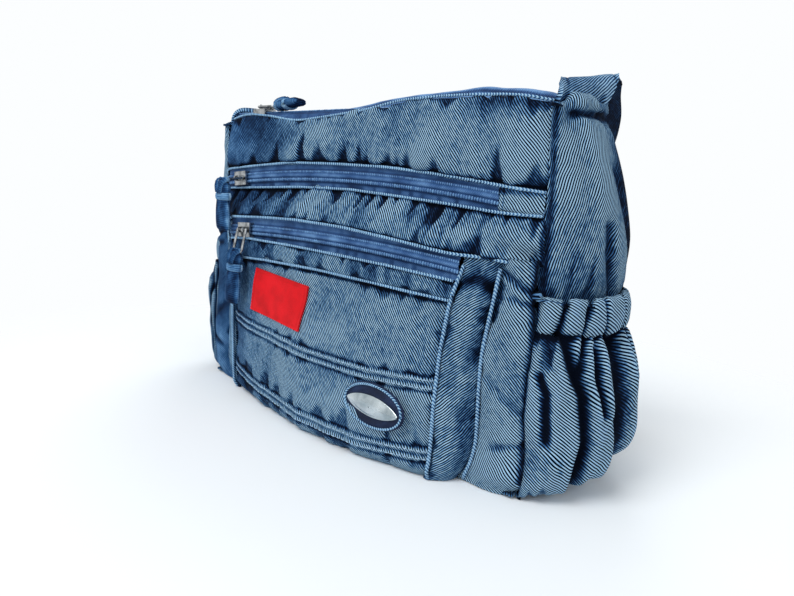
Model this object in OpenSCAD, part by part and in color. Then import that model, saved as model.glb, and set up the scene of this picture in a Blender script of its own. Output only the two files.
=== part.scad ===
// Denim hip bag: a sewn shell on a flat base, three arched coil zips, a raised box pocket on the
// lower front, elastic pockets on both ends and a strap that hangs behind the bag.
// Origin at the middle of the base, +X to the right as the front is seen, -Y front, +Z up, in mm.

/* [Body] */
// Width of the sewn shell, end panel to end panel
body_w = 240; // [200:1:300]
// Depth of the shell at the base
body_d = 96; // [76:1:120]
// Depth of the shell at its top, where the back panel leans in
top_d = 50; // [40:1:64]
// Height of the shell at the top of the back panel
body_h = 176; // [160:1:215]
// Height at which the back panel starts to lean
back_knee_h = 38; // [20:1:60]
// Radius of the shell's folded edges
edge_r = 9; // [5:0.5:12]
// Thickness of denim with its lining
cloth_t = 2.6; // [1.6:0.1:3.6]
// Thickness of the inner lining alone
lining_t = 0.8; // [0.5:0.1:1.2]
// Gap kept between sewn pieces that lie on each other
sewn_gap = 0.15; // [0.1:0.05:0.3]

/* [Zips] */
// Width of a zip's opening between its two seams
zip_open = 12.5; // [11:0.5:16]
// Width of the upper front zip's tape
tape_w = 22; // [20:1:26]
// Width of the box pocket zip's tape
pocket_tape_w = 16; // [14:1:18]
// Thickness of the zip tape
tape_t = 0.6; // [0.4:0.1:1]
// Width of the coil chain
chain_w = 5.6; // [4:0.2:6]
// Height of the coil chain over its tape
chain_t = 2.2; // [1.6:0.1:2.4]
// Height of the upper front zip at its highest point
upper_zip_h = 138; // [132:1:150]
// Height of the lower front zip, at the top of the box pocket
lower_zip_h = 105; // [98:1:108]
// Bend radius of the upper front zip
upper_zip_r = 950; // [700:10:1500]
// Bend radius of the lower front zip
lower_zip_r = 1300; // [900:10:1600]
// Length of a slider
slider_l = 12; // [10:0.5:14]
// Running gap round a slider
slider_gap = 0.35; // [0.25:0.05:0.5]
// Wire diameter of the bails
bail_wire = 1.6; // [1.2:0.1:1.6]
// Length of a denim pull
pull_l = 30; // [22:1:32]

/* [Box pocket] */
// Width of the box pocket's face
pocket_w = 170; // [140:1:180]
// How far the box pocket stands out at its top
pocket_out_top = 12; // [10:1:16]
// How far the box pocket stands out at its foot
pocket_out_foot = 22; // [16:1:26]
// Width of the sloping gusset, seen from the front
gusset_run = 19; // [12:1:22]
// Height of the band over the pocket's face
band_h = 11; // [8:1:14]

/* [End pockets] */
// How far an end panel bulges
end_bulge = 12; // [6:1:14]
// How far an end pocket stands out
end_out = 28; // [26:1:34]
// Height of an end pocket with its casing
end_h = 92; // [80:1:100]
// Height of the elastic casing
casing_h = 18; // [14:1:24]
// Width of an end pocket, front to back
end_w = 78; // [64:1:82]

/* [Strap] */
// Width of the strap
strap_w = 38; // [30:1:40]
// Thickness of the folded strap
strap_t = 3; // [2:0.2:4]
// Gap between the back panel and the strap that hangs behind it
strap_gap = 6; // [4:0.5:12]

/* [Trims] */
// Length and height of the oval denim patch
patch_size = [40, 22]; // [20:1:48]
// Length and height of the polished oval plate
plate_size = [37, 10]; // [8:1:38]
// Length and height of the plain woven label
label_size = [50, 25]; // [20:1:56]

/* [Hidden] */
$fn = 32;
// Fine enough for the long zip arcs
arc_fn = 240;
// Larger than the whole bag, for cutting zones
far = 600;

denim = "#5f86b0";
pale_denim = "#7ea3c6";
dark_denim = "#2f4568";
tape_blue = "#4a72aa";
lining_grey = "#c9ccd2";
steel = "#c4c6c8";
label_red = "#d8232a";

front_y = -body_d / 2;
back_y = body_d / 2;
top_back_y = front_y + top_d;
inner_w = body_w - 2 * cloth_t;
main_zip_y = front_y + 15;
bottom_seam_h = edge_r + 2;
// Height where the box pocket's top meets the front, and the foot of its zip's lower seam
pocket_top_h = lower_zip_h + zip_open / 2 + 11;
face_top_h = lower_zip_h - zip_open / 2;
pocket_front_y = front_y - pocket_out_top;

// Height of an arc of radius r at x, where h is its highest point, over x = 0
function arc_h(h, r, x) = h - r + sqrt(r * r - x * x);

// ---------- shared outlines ----------

// Side view of the shell in Y and Z, moved inwards by inset
module shell_outline(inset = 0) {
    offset(r = edge_r - inset) offset(delta = -edge_r) polygon([
        [front_y, 0], [back_y, 0], [back_y, back_knee_h], [top_back_y, body_h], [front_y, body_h]
    ]);
}

// A side view drawn in Y and Z, pushed out along X to both sides of the middle
module along_x(length) {
    rotate([90, 0, 90]) linear_extrude(length, center = true) children();
}

// The shell's cloth, between the outline and the outline moved in by its thickness
module shell_cloth() {
    difference() {
        along_x(inner_w) shell_outline();
        along_x(inner_w + 1) shell_outline(cloth_t);
    }
}

// Everything below an arc that is moved up by rise
module under_arc(h, r, rise) {
    translate([0, 0, h - r]) rotate([90, 0, 0])
        cylinder(h = far, r = r + rise, center = true, $fn = arc_fn);
}

// Everything above an arc that is moved up by rise
module above_arc(h, r, rise) {
    difference() {
        translate([-far / 2, -far / 2, h - 60]) cube(far);
        under_arc(h, r, rise);
    }
}

// A strip that follows an arc, width high and depth deep, with its front at y
module arc_strip(h, r, width, y, depth, x0, x1) {
    intersection() {
        translate([0, y, h - r]) rotate([-90, 0, 0]) difference() {
            cylinder(h = depth, r = r + width / 2, $fn = arc_fn);
            translate([0, 0, -1]) cylinder(h = depth + 2, r = r - width / 2, $fn = arc_fn);
        }
        translate([x0, y - 1, h - 60]) cube([x1 - x0, depth + 2, 120]);
    }
}

// The front of the shell, ahead of the main zip, between two heights
module front_zone(z0, z1) {
    translate([-far / 2, front_y - 1, z0])
        cube([far, main_zip_y - zip_open / 2 - front_y + 1, z1 - z0]);
}

// ---------- sewn shell ----------

module front_upper_panel() {
    color(denim) intersection() {
        shell_cloth();
        front_zone(bottom_seam_h, body_h + 1);
        above_arc(upper_zip_h, upper_zip_r, zip_open / 2);
    }
}

module front_middle_panel() {
    color(denim) intersection() {
        shell_cloth();
        front_zone(pocket_top_h, body_h);
        under_arc(upper_zip_h, upper_zip_r, -zip_open / 2);
    }
}

module front_lower_panel() {
    color(denim) intersection() {
        shell_cloth();
        front_zone(bottom_seam_h, pocket_top_h - sewn_gap);
    }
}

module bottom_panel() {
    color(dark_denim) intersection() {
        shell_cloth();
        translate([-far / 2, -far / 2, -1]) cube([far, far, bottom_seam_h + 1 - sewn_gap]);
    }
}

module back_panel() {
    color(denim) intersection() {
        shell_cloth();
        translate([-far / 2, 0, bottom_seam_h]) cube([far, far, body_h - edge_r - bottom_seam_h]);
    }
}

module top_strip() {
    color(denim) intersection() {
        shell_cloth();
        translate([-far / 2, main_zip_y + zip_open / 2, body_h - edge_r + sewn_gap]) cube(far);
    }
}

// How far in from the edge of an end its bulge reaches full height
end_rim = 24;

// The bulge of an end, from the end of the shell outwards, moved out by grow
module end_bulge_solid(grow) {
    thin = 0.1;
    translate([inner_w / 2 + sewn_gap - grow, 0, 0]) hull() {
        along_right(thin) shell_outline();
        translate([cloth_t, 0, 0]) along_right(thin + grow) shell_outline();
        translate([end_bulge + cloth_t, 0, 0]) along_right(thin + grow)
            offset(delta = -end_rim) shell_outline();
    }
}

// A side view drawn in Y and Z, pushed out along +X from x = 0
module along_right(length) {
    rotate([90, 0, 90]) linear_extrude(length) children();
}

module end_panel() {
    color(pale_denim) difference() {
        end_bulge_solid(0);
        translate([-cloth_t, 0, 0]) end_bulge_solid(0);
    }
}

module right_end_panel() { end_panel(); }

module left_end_panel() { mirror([1, 0, 0]) end_panel(); }

// ---------- linings ----------

// The main lining stays this far behind the outside, clear of the zips
lining_inset = cloth_t + tape_t + 3;
lining_top = body_h - 22;
// The lining's ends reach into the bulge of the end panels, where they are sewn
lining_l = inner_w + 2 * (end_bulge * lining_inset / end_rim - 0.4);

module main_lining() {
    color(lining_grey) intersection() {
        difference() {
            along_x(lining_l) shell_outline(lining_inset);
            along_x(lining_l - 2 * lining_t) shell_outline(lining_inset + lining_t);
        }
        translate([-far / 2, -far / 2, 0]) cube([far, far, lining_top]);
    }
}

// A flat pocket bag, open at its top
module pocket_lining(width, z0, z1, y, depth) {
    color(lining_grey) difference() {
        translate([-width / 2, y, z0]) cube([width, depth, z1 - z0]);
        translate([-width / 2 + lining_t, y + lining_t, z0 + lining_t])
            cube([width - 2 * lining_t, depth - 2 * lining_t, z1 - z0]);
    }
}

pocket_cloth = 2.4;
upper_bag_y = front_y + lining_inset + lining_t + 0.3;
upper_bag_d = 9;
upper_bag_foot = 50;
box_bag_foot = 12;
box_bag_d = pocket_out_top - pocket_cloth - 1.2;

module upper_pocket_lining() {
    pocket_lining(inner_w - 20, upper_bag_foot, upper_zip_h - 14, upper_bag_y, upper_bag_d);
}

module box_pocket_lining() {
    pocket_lining(pocket_w - 14, box_bag_foot, face_top_h - 10, front_y - box_bag_d - 0.6, box_bag_d);
}

// ---------- the slider, bail and pull that all three zips share ----------
// Their own frame: X along the chain, Y across it, Z away from the tape, whose face is at z = 0

slider_wall = 1.1;
slider_w = chain_w + 2 * slider_gap + 2 * slider_wall;
channel_h = chain_t + slider_gap + 0.05;
slider_top = channel_h + slider_wall;
ear_r = 1.7;
ear_t = 1.2;
pin_z = slider_top + 1.2;
pin_gap = 0.06;
bail_in = 7;
bail_x = (bail_in + bail_wire) / 2;
bail_drop = 11;
loop_y = -bail_drop - bail_x;

// A slider whose ears hold a pin along X
module slider_body() {
    difference() {
        union() {
            translate([-slider_l / 2, -slider_w / 2, 0.2]) cube([slider_l, slider_w, slider_top - 0.2]);
            for (side = [-1, 1]) ear(side);
        }
        translate([-slider_l, -chain_w / 2 - slider_gap, -1])
            cube([2 * slider_l, chain_w + 2 * slider_gap, channel_h + 1]);
        pin_bore();
    }
}

module ear(side) {
    x = side * (bail_in / 2 - ear_t);
    translate([x, 0, pin_z]) rotate([0, 90, 0]) cylinder(h = ear_t, r = ear_r, center = true);
    translate([x - ear_t / 2, -ear_r, slider_top - 0.5]) cube([ear_t, 2 * ear_r, pin_z - slider_top + 0.5]);
}

module pin_bore() {
    translate([0, 0, pin_z]) rotate([0, 90, 0])
        cylinder(h = 2 * bail_in, r = bail_wire / 2 + pin_gap, center = true);
}

// A wire bail: its pin lies in the ears along X, and its loop reaches towards -Y, turned up by lift
module bail(lift) {
    color(steel) translate([0, 0, pin_z]) rotate([-lift, 0, 0]) union() {
        rotate([0, 90, 0]) cylinder(h = 2 * bail_x, r = bail_wire / 2, center = true);
        for (side = [-1, 1]) translate([side * bail_x, 0, 0]) {
            rotate([90, 0, 0]) cylinder(h = bail_drop, r = bail_wire / 2);
            sphere(r = bail_wire / 2);
        }
        translate([0, -bail_drop, 0]) rotate([0, 0, 180]) rotate_extrude(angle = 180)
            translate([bail_x, 0]) circle(r = bail_wire / 2);
    }
}

pull_w = 9;
pull_t = 2.4;
knot_t = 4.4;
loop_r = bail_wire / 2 + 0.35;

// A denim pull: an eye round the foot of the bail, a wrapped knot and a tail that reaches to -Y
module pull(lift, droop) {
    color(denim) translate([0, 0, pin_z]) rotate([-lift, 0, 0]) translate([0, loop_y, 0])
        rotate([lift + droop, 0, 0]) difference() {
            union() {
                rotate([0, 90, 0]) cylinder(h = 3, r = loop_r + 1, center = true);
                translate([-1.5, -loop_r - 2.2, -1.2]) cube([3, 2.4, 2.4]);
                translate([-pull_w / 2, -loop_r - 8, -knot_t / 2]) cube([pull_w, 6, knot_t]);
                translate([-pull_w / 2 + 1, -pull_l, -pull_t / 2]) cube([pull_w - 2, pull_l - 8, pull_t]);
            }
            rotate([0, 90, 0]) cylinder(h = 8, r = loop_r, center = true);
        }
}

// ---------- front zips ----------

upper_tape_y = front_y + cloth_t + sewn_gap;
lower_tape_y = pocket_front_y + pocket_cloth + sewn_gap;
upper_zip_x = inner_w / 2 - 8;
lower_zip_x = pocket_w / 2 - 6;
upper_slider_x = -inner_w / 2 + 22;
lower_slider_x = -pocket_w / 2 + 13;
upper_lift = 80;
lower_lift = 14;
end_tab_l = 17;

module zip_tape(h, r, y, half, width) {
    color(tape_blue) arc_strip(h, r, width, y, tape_t, -half - 3, half + 3);
}

module zip_chain(h, r, y, half) {
    color(tape_blue) arc_strip(h, r, chain_w, y - chain_t - 0.05, chain_t, -half, half);
}

// Puts a slider's own frame on an arched front zip at x
module on_front_zip(h, r, y, x) {
    translate([x, y, arc_h(h, r, x)]) rotate([90, 0, 0]) rotate([0, 0, -asin(x / r)]) children();
}

module on_upper_zip() {
    on_front_zip(upper_zip_h, upper_zip_r, upper_tape_y, upper_slider_x) children();
}

module on_lower_zip() {
    on_front_zip(lower_zip_h, lower_zip_r, lower_tape_y, lower_slider_x) children();
}

module upper_zip_tape() { zip_tape(upper_zip_h, upper_zip_r, upper_tape_y, upper_zip_x, tape_w); }

module upper_zip_chain() { zip_chain(upper_zip_h, upper_zip_r, upper_tape_y, upper_zip_x); }

module upper_zip_slider() { color(steel) on_upper_zip() slider_body(); }

module upper_zip_bail() { on_upper_zip() bail(upper_lift); }

module upper_zip_pull() { on_upper_zip() pull(upper_lift, 0); }

module lower_zip_tape() { zip_tape(lower_zip_h, lower_zip_r, lower_tape_y, lower_zip_x, pocket_tape_w); }

module lower_zip_chain() { zip_chain(lower_zip_h, lower_zip_r, lower_tape_y, lower_zip_x); }

module lower_zip_slider() { color(steel) on_lower_zip() slider_body(); }

module lower_zip_bail() { on_lower_zip() bail(lower_lift); }

module lower_zip_pull() { on_lower_zip() pull(lower_lift, 0); }

module zip_end_tab() {
    color(denim) translate([
        body_w / 2 - 3 - end_tab_l, front_y - 1.8, arc_h(upper_zip_h, upper_zip_r, upper_zip_x) - 9
    ])
        cube([end_tab_l, 1.6, 18]);
}

// ---------- main zip on the top ----------

main_tape_z = body_h - cloth_t - sewn_gap - tape_t;
main_slider_x = -inner_w / 2 + 24;
// The tape is trimmed at the folded front edge
main_tape_front = 7;

module main_zip_tape() {
    color(tape_blue) translate([-inner_w / 2 + 3, main_zip_y - main_tape_front, main_tape_z])
        cube([inner_w - 6, tape_w / 2 + main_tape_front, tape_t]);
}

module main_zip_chain() {
    color(tape_blue) translate([-inner_w / 2 + 6, main_zip_y - chain_w / 2, main_tape_z + tape_t + 0.05])
        cube([inner_w - 12, chain_w, chain_t]);
}

// The main slider's frame lies on the tape, and its bail is turned to lie along the chain
module on_main_zip() {
    translate([main_slider_x, main_zip_y, main_tape_z + tape_t]) children();
}

module main_zip_slider() {
    color(steel) on_main_zip() difference() {
        union() {
            translate([-slider_l / 2, -slider_w / 2, 0.2]) cube([slider_l, slider_w, slider_top - 0.2]);
            rotate([0, 0, 90]) for (side = [-1, 1]) ear(side);
        }
        translate([-slider_l, -chain_w / 2 - slider_gap, -1])
            cube([2 * slider_l, chain_w + 2 * slider_gap, channel_h + 1]);
        rotate([0, 0, 90]) pin_bore();
    }
}

module main_zip_bail() { on_main_zip() rotate([0, 0, 90]) bail(0); }

module main_zip_pull() { on_main_zip() rotate([0, 0, 90]) pull(0, 0); }

// ---------- box pocket ----------

foot_bevel = 7;
face_lean = atan((pocket_out_foot - pocket_out_top) / (face_top_h - foot_bevel));

// Outline of the pocket from above, moved inwards by inset, its open back moved back by past
module pocket_plan(inset, past = 0) {
    root_y = front_y - sewn_gap + past;
    half = pocket_w / 2 - inset;
    root = pocket_w / 2 + gusset_run - inset;
    shoulder_y = pocket_front_y + inset / 2;
    polygon([
        [-root, root_y], [-half, shoulder_y], [-half, front_y - 60],
        [half, front_y - 60], [half, shoulder_y], [root, root_y]
    ]);
}

// Side view of the pocket's front, moved back by inset, from z0 up, its open back moved by past
module pocket_side(inset, z0, past = 0) {
    root_y = front_y - sewn_gap + past;
    foot_y = front_y - pocket_out_foot + inset;
    polygon([
        [root_y, z0], [foot_y + 5, z0], [foot_y, z0 + foot_bevel],
        [pocket_front_y + inset, face_top_h], [pocket_front_y + inset, pocket_top_h - 5],
        [root_y, pocket_top_h]
    ]);
}

module pocket_solid(inset, z0) {
    intersection() {
        linear_extrude(pocket_top_h) pocket_plan(inset);
        along_x(far) pocket_side(inset, z0);
    }
}

module pocket_shell() {
    difference() {
        pocket_solid(0, 0);
        pocket_inside();
    }
}

// The hollow of the pocket, open towards the front panel
module pocket_inside() {
    translate([0, 0, -pocket_cloth]) intersection() {
        linear_extrude(pocket_top_h) pocket_plan(pocket_cloth, 1);
        along_x(far) pocket_side(pocket_cloth, 2 * pocket_cloth, 1);
    }
}

// The part of the pocket that lies in its front wall, moved back by extra
module front_wall_zone(extra) {
    back = pocket_cloth + extra;
    foot_y = front_y - pocket_out_foot + back;
    along_x(pocket_w + 2 * extra - 2 * sewn_gap) polygon([
        [front_y - 60, -1], [foot_y + 5, -1], [foot_y, foot_bevel], [pocket_front_y + back, face_top_h],
        [pocket_front_y + back, pocket_top_h - 6], [front_y - 60, pocket_top_h - 6]
    ]);
}

band_z = face_top_h - band_h;

module slab(z0, z1) {
    translate([-far / 2, -far / 2, z0]) cube([far, far, z1 - z0]);
}

module pocket_face() {
    color(denim) intersection() {
        pocket_shell();
        front_wall_zone(0);
        slab(0, band_z - sewn_gap);
    }
}

module pocket_band() {
    color(pale_denim) intersection() {
        pocket_shell();
        front_wall_zone(0);
        slab(band_z, pocket_top_h);
        under_arc(lower_zip_h, lower_zip_r, -zip_open / 2);
    }
}

// The strip over the pocket's zip, and the slope that joins it to the front
module pocket_top() {
    color(denim) intersection() {
        pocket_shell();
        translate([-pocket_w / 2 + sewn_gap, -far, 0]) cube([pocket_w - 2 * sewn_gap, far, far]);
        above_arc(lower_zip_h, lower_zip_r, zip_open / 2);
    }
}

module pocket_gusset() {
    color(denim) difference() {
        pocket_shell();
        front_wall_zone(sewn_gap);
        translate([-pocket_w / 2, -far, lower_zip_h - zip_open]) cube([pocket_w, far, far]);
    }
}

piping_d = 3;

// Piping up both sides of the face, just off its edge
module pocket_piping() {
    color(pale_denim) for (side = [-1, 1])
        translate([side * (pocket_w / 2 + piping_d / 2 + 0.2), front_y - pocket_out_foot - 0.9, foot_bevel + 1])
            rotate([-face_lean, 0, 0]) cylinder(h = face_top_h - foot_bevel - 2, r = piping_d / 2);
}

// ---------- trims ----------

patch_x = 54;
patch_z = 30;
patch_t = 1.6;
label_x = -32;
label_z = 68;
trim_turn = -4;

// Lays a trim's own X, Y plane on the pocket's face, with its Z pointing out of the face
module on_pocket_face(x, z, off) {
    translate([x, front_y - pocket_out_foot + (z - foot_bevel) * tan(face_lean), z])
        rotate([90 - face_lean, 0, 0]) rotate([0, 0, trim_turn]) translate([0, 0, off]) children();
}

// A pointed oval, where two arcs meet
module oval(size, height) {
    r = (size.x * size.x + size.y * size.y) / (4 * size.y);
    linear_extrude(height) intersection_for(side = [-1, 1]) {
        translate([0, side * (size.y / 2 - r)]) circle(r = r, $fn = 96);
    }
}

module oval_patch() {
    color(dark_denim) on_pocket_face(patch_x, patch_z, sewn_gap) oval(patch_size, patch_t);
}

module oval_plate() {
    color(steel) on_pocket_face(patch_x, patch_z, patch_t + 2 * sewn_gap) oval(plate_size, 1.4);
}

module woven_label() {
    color(label_red) on_pocket_face(label_x, label_z, sewn_gap)
        translate([-label_size.x / 2, -label_size.y / 2, 0]) cube([label_size.x, label_size.y, 0.3]);
}

// ---------- end pockets ----------

end_foot = 1;

// Outline of the right end pocket from above, moved inwards by inset
module end_plan(inset) {
    out_x = body_w / 2 + end_out - inset;
    half = end_w / 2 - inset;
    polygon([
        [inner_w / 2, -half], [out_x - 10, -half + 6], [out_x, -half + 18],
        [out_x, half - 18], [out_x - 10, half - 6], [inner_w / 2, half]
    ]);
}

// The pocket's cloth between two heights, clear of the bulging end panel
module end_wall(z0, z1, floor_t) {
    color(pale_denim) difference() {
        translate([0, 0, z0]) linear_extrude(z1 - z0) end_plan(0);
        translate([0, 0, z0 + floor_t]) linear_extrude(end_h) end_plan(cloth_t);
        end_bulge_solid(sewn_gap);
        translate([0, -far / 2, -1]) cube([body_w / 2 + sewn_gap, far, far]);
    }
}

module end_pocket() { end_wall(end_foot, end_h - casing_h, cloth_t); }

module casing() { end_wall(end_h - casing_h + sewn_gap, end_h, -1); }

module right_end_pocket() { end_pocket(); }

module right_casing() { casing(); }

module left_end_pocket() { mirror([1, 0, 0]) end_pocket(); }

module left_casing() { mirror([1, 0, 0]) casing(); }

// ---------- strap ----------

stub_y = front_y + 5;
stub_foot_h = body_h - 3;
stub_top_h = body_h + 13;
strap_x = body_w / 2 - 8;
strap_top_h = stub_top_h - 2;
// The legs follow the leaning back, strap_gap behind it
leg_top_y = top_back_y + strap_gap;
leg_foot_y = back_y + strap_gap;
strap_lean = atan((leg_foot_y - leg_top_y) / (strap_top_h - back_knee_h));

// A short end of the strap that is sewn into the top of an end panel
module strap_stub() {
    color(pale_denim) translate([inner_w / 2 - strap_t, stub_y, stub_foot_h])
        cube([strap_t, strap_w, stub_top_h - stub_foot_h]);
}

module right_strap_stub() {
    difference() {
        translate([2.6, 0, 0]) strap_stub();
        end_bulge_solid(sewn_gap);
        right_shell_zone();
    }
}

// The shell's own space at its right end, with a sewing gap round it
module right_shell_zone() {
    along_x(inner_w + 2 * sewn_gap) shell_outline(-sewn_gap);
}

module left_strap_stub() { mirror([1, 0, 0]) right_strap_stub(); }

// Side view of a leg of the strap, from the floor to its top
module leg_outline() {
    polygon([
        [leg_foot_y, 0], [leg_foot_y + strap_w, 0], [leg_foot_y + strap_w, back_knee_h],
        [leg_top_y + strap_w, strap_top_h], [leg_top_y, strap_top_h], [leg_foot_y, back_knee_h]
    ]);
}

// The strap behind the bag: two legs, the run on the floor, and the arms that reach to the stubs
module strap() {
    arm_y = stub_y + strap_w + 0.3;
    color(denim) {
        for (side = [-1, 1]) {
            translate([side * (strap_x - strap_t / 2), 0, 0]) along_x(strap_t) leg_outline();
            translate([side * (strap_x + 4) - 7, arm_y, strap_top_h - strap_t])
                cube([14, leg_top_y + strap_w - arm_y, strap_t]);
        }
        translate([-strap_x, leg_foot_y, 0]) cube([2 * strap_x, strap_w, strap_t]);
    }
}

adjuster_h = 16;
adjuster_gap = 0.5;
adjuster_bar = 2.2;
adjuster_z = 118;

// A metal loop round the left leg, with a bar across its outer face
module strap_adjuster() {
    mid_y = leg_foot_y + strap_w / 2 - (adjuster_z - back_knee_h) * tan(strap_lean);
    wide = strap_w * cos(strap_lean) + 2 * adjuster_gap;
    color(steel) translate([-strap_x + strap_t / 2, mid_y, adjuster_z]) rotate([strap_lean, 0, 0])
        difference() {
            cube([strap_t + 2 * adjuster_gap + 2 * adjuster_bar, wide + 2 * adjuster_bar, adjuster_h], center = true);
            cube([strap_t + 2 * adjuster_gap, wide, adjuster_h + 1], center = true);
            for (z = [-1, 1]) translate([-strap_t, 0, z * adjuster_h / 4])
                cube([2 * strap_t, wide, adjuster_h / 4], center = true);
        }
}

front_upper_panel();
front_middle_panel();
front_lower_panel();
back_panel();
bottom_panel();
top_strip();
right_end_panel();
left_end_panel();
main_lining();
upper_pocket_lining();
box_pocket_lining();
main_zip_tape();
main_zip_chain();
main_zip_slider();
main_zip_bail();
main_zip_pull();
upper_zip_tape();
upper_zip_chain();
upper_zip_slider();
upper_zip_bail();
upper_zip_pull();
lower_zip_tape();
lower_zip_chain();
lower_zip_slider();
lower_zip_bail();
lower_zip_pull();
zip_end_tab();
pocket_top();
pocket_face();
pocket_band();
pocket_gusset();
pocket_piping();
oval_patch();
oval_plate();
woven_label();
right_end_pocket();
right_casing();
left_end_pocket();
left_casing();
right_strap_stub();
left_strap_stub();
strap();
strap_adjuster();
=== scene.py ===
# %% [markdown]
# # A washed-denim waist pack
# The pack is sewn from thick, acid-washed denim. It has three zips across the front and top, a boxy
# pocket with piped edges, a gathered pocket on each end, and a wide belt of the same cloth. The frame
# holds its exact sizes and its joints. This script makes the cloth, the zips and the trimmings on it.

# %% Load the frame
import math

import bpy
import numpy as np
from mathutils import Matrix, Vector


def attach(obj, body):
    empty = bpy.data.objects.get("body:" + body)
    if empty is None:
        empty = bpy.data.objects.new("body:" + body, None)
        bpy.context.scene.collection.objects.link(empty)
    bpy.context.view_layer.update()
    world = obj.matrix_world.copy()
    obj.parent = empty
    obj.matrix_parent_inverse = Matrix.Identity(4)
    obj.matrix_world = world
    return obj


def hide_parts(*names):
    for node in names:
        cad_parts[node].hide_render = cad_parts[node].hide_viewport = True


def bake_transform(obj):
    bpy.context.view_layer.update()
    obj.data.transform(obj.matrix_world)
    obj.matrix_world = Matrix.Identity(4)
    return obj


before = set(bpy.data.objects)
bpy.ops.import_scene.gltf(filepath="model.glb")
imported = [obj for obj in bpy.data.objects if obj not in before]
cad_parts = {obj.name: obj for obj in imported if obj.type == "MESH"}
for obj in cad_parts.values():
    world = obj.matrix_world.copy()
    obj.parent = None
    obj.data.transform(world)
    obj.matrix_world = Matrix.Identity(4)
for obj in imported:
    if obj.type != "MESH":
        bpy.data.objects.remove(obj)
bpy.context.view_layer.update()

MM = 0.001

# %% [markdown]
# ## Colours and nodes
# Colours are written as sRGB hex, the way a dye chart gives them. Shaders work in linear light, so one
# function turns them. A second small function adds any node with its settings and its links, which
# keeps each material short enough to read.


# %% Two helpers for materials
def dye(code):
    """One sRGB hex colour as linear RGBA."""
    parts = [int(code[i : i + 2], 16) / 255 for i in (1, 3, 5)]
    linear = [c / 12.92 if c <= 0.04045 else ((c + 0.055) / 1.055) ** 2.4 for c in parts]
    return (*linear, 1.0)


def add(tree, kind, settings=None, inputs=None):
    """One node: its properties, then its inputs, each a value or another node's socket."""
    node = tree.nodes.new(kind)
    for key, value in (settings or {}).items():
        setattr(node, key, value)
    for key, value in (inputs or {}).items():
        if isinstance(value, bpy.types.NodeSocket):
            tree.links.new(value, node.inputs[key])
        else:
            node.inputs[key].default_value = value
    return node


def new_finish(name):
    """An empty material, its tree and its surface shader."""
    finish = bpy.data.materials.new(name)
    finish.use_nodes = True
    finish.node_tree.nodes.clear()
    shader = add(finish.node_tree, "ShaderNodeBsdfPrincipled")
    out = add(finish.node_tree, "ShaderNodeOutputMaterial")
    finish.node_tree.links.new(shader.outputs[0], out.inputs[0])
    return finish, finish.node_tree, shader


print("white dye is", [round(c, 3) for c in dye("#ffffff")])

# %% [markdown]
# ## Washed denim
# Denim is a cotton twill: indigo warp threads cross white weft threads in steps, which gives the slanted
# ridges. They are drawn 1.1 mm apart, as on a thick, heavy denim and a little coarser than on most, so
# that they show. The cloth was bleached after sewing, so it is pale on every raised place. In seams, dents
# and folds it is nearly black, partly from the wash and partly as painted shade. The thin dark lines beside
# rolled edges and coils are painted shadow, and the pale ridge of each zip tape is a painted highlight. A
# value named wear_and_shade, from the same function that dents the cloth, carries both: it is above 0 where
# the cloth stands up and below 0 in a fold. Cloud-like patches of bleach come from noise on the object
# itself. The ridges follow the cloth's own UV map, in metres of cloth.

# %% Denim
TWILL_PITCH = 1.1 * MM
WASH = [
    (0.00, "#000514"),
    (0.22, "#051430"),
    (0.42, "#1d3f68"),
    (0.58, "#3b6694"),
    (0.78, "#6d9ac2"),
    (1.00, "#9fc4de"),
]
# How much each noise moves the tone. Noise is 0.5 on average, so half of each share is taken off again.
YARN = 0.9
PATCHES = 0.72
SPECKS = 0.28
LEFT_BLEACH = 0.54
TONE_LIFT = 0.40


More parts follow.
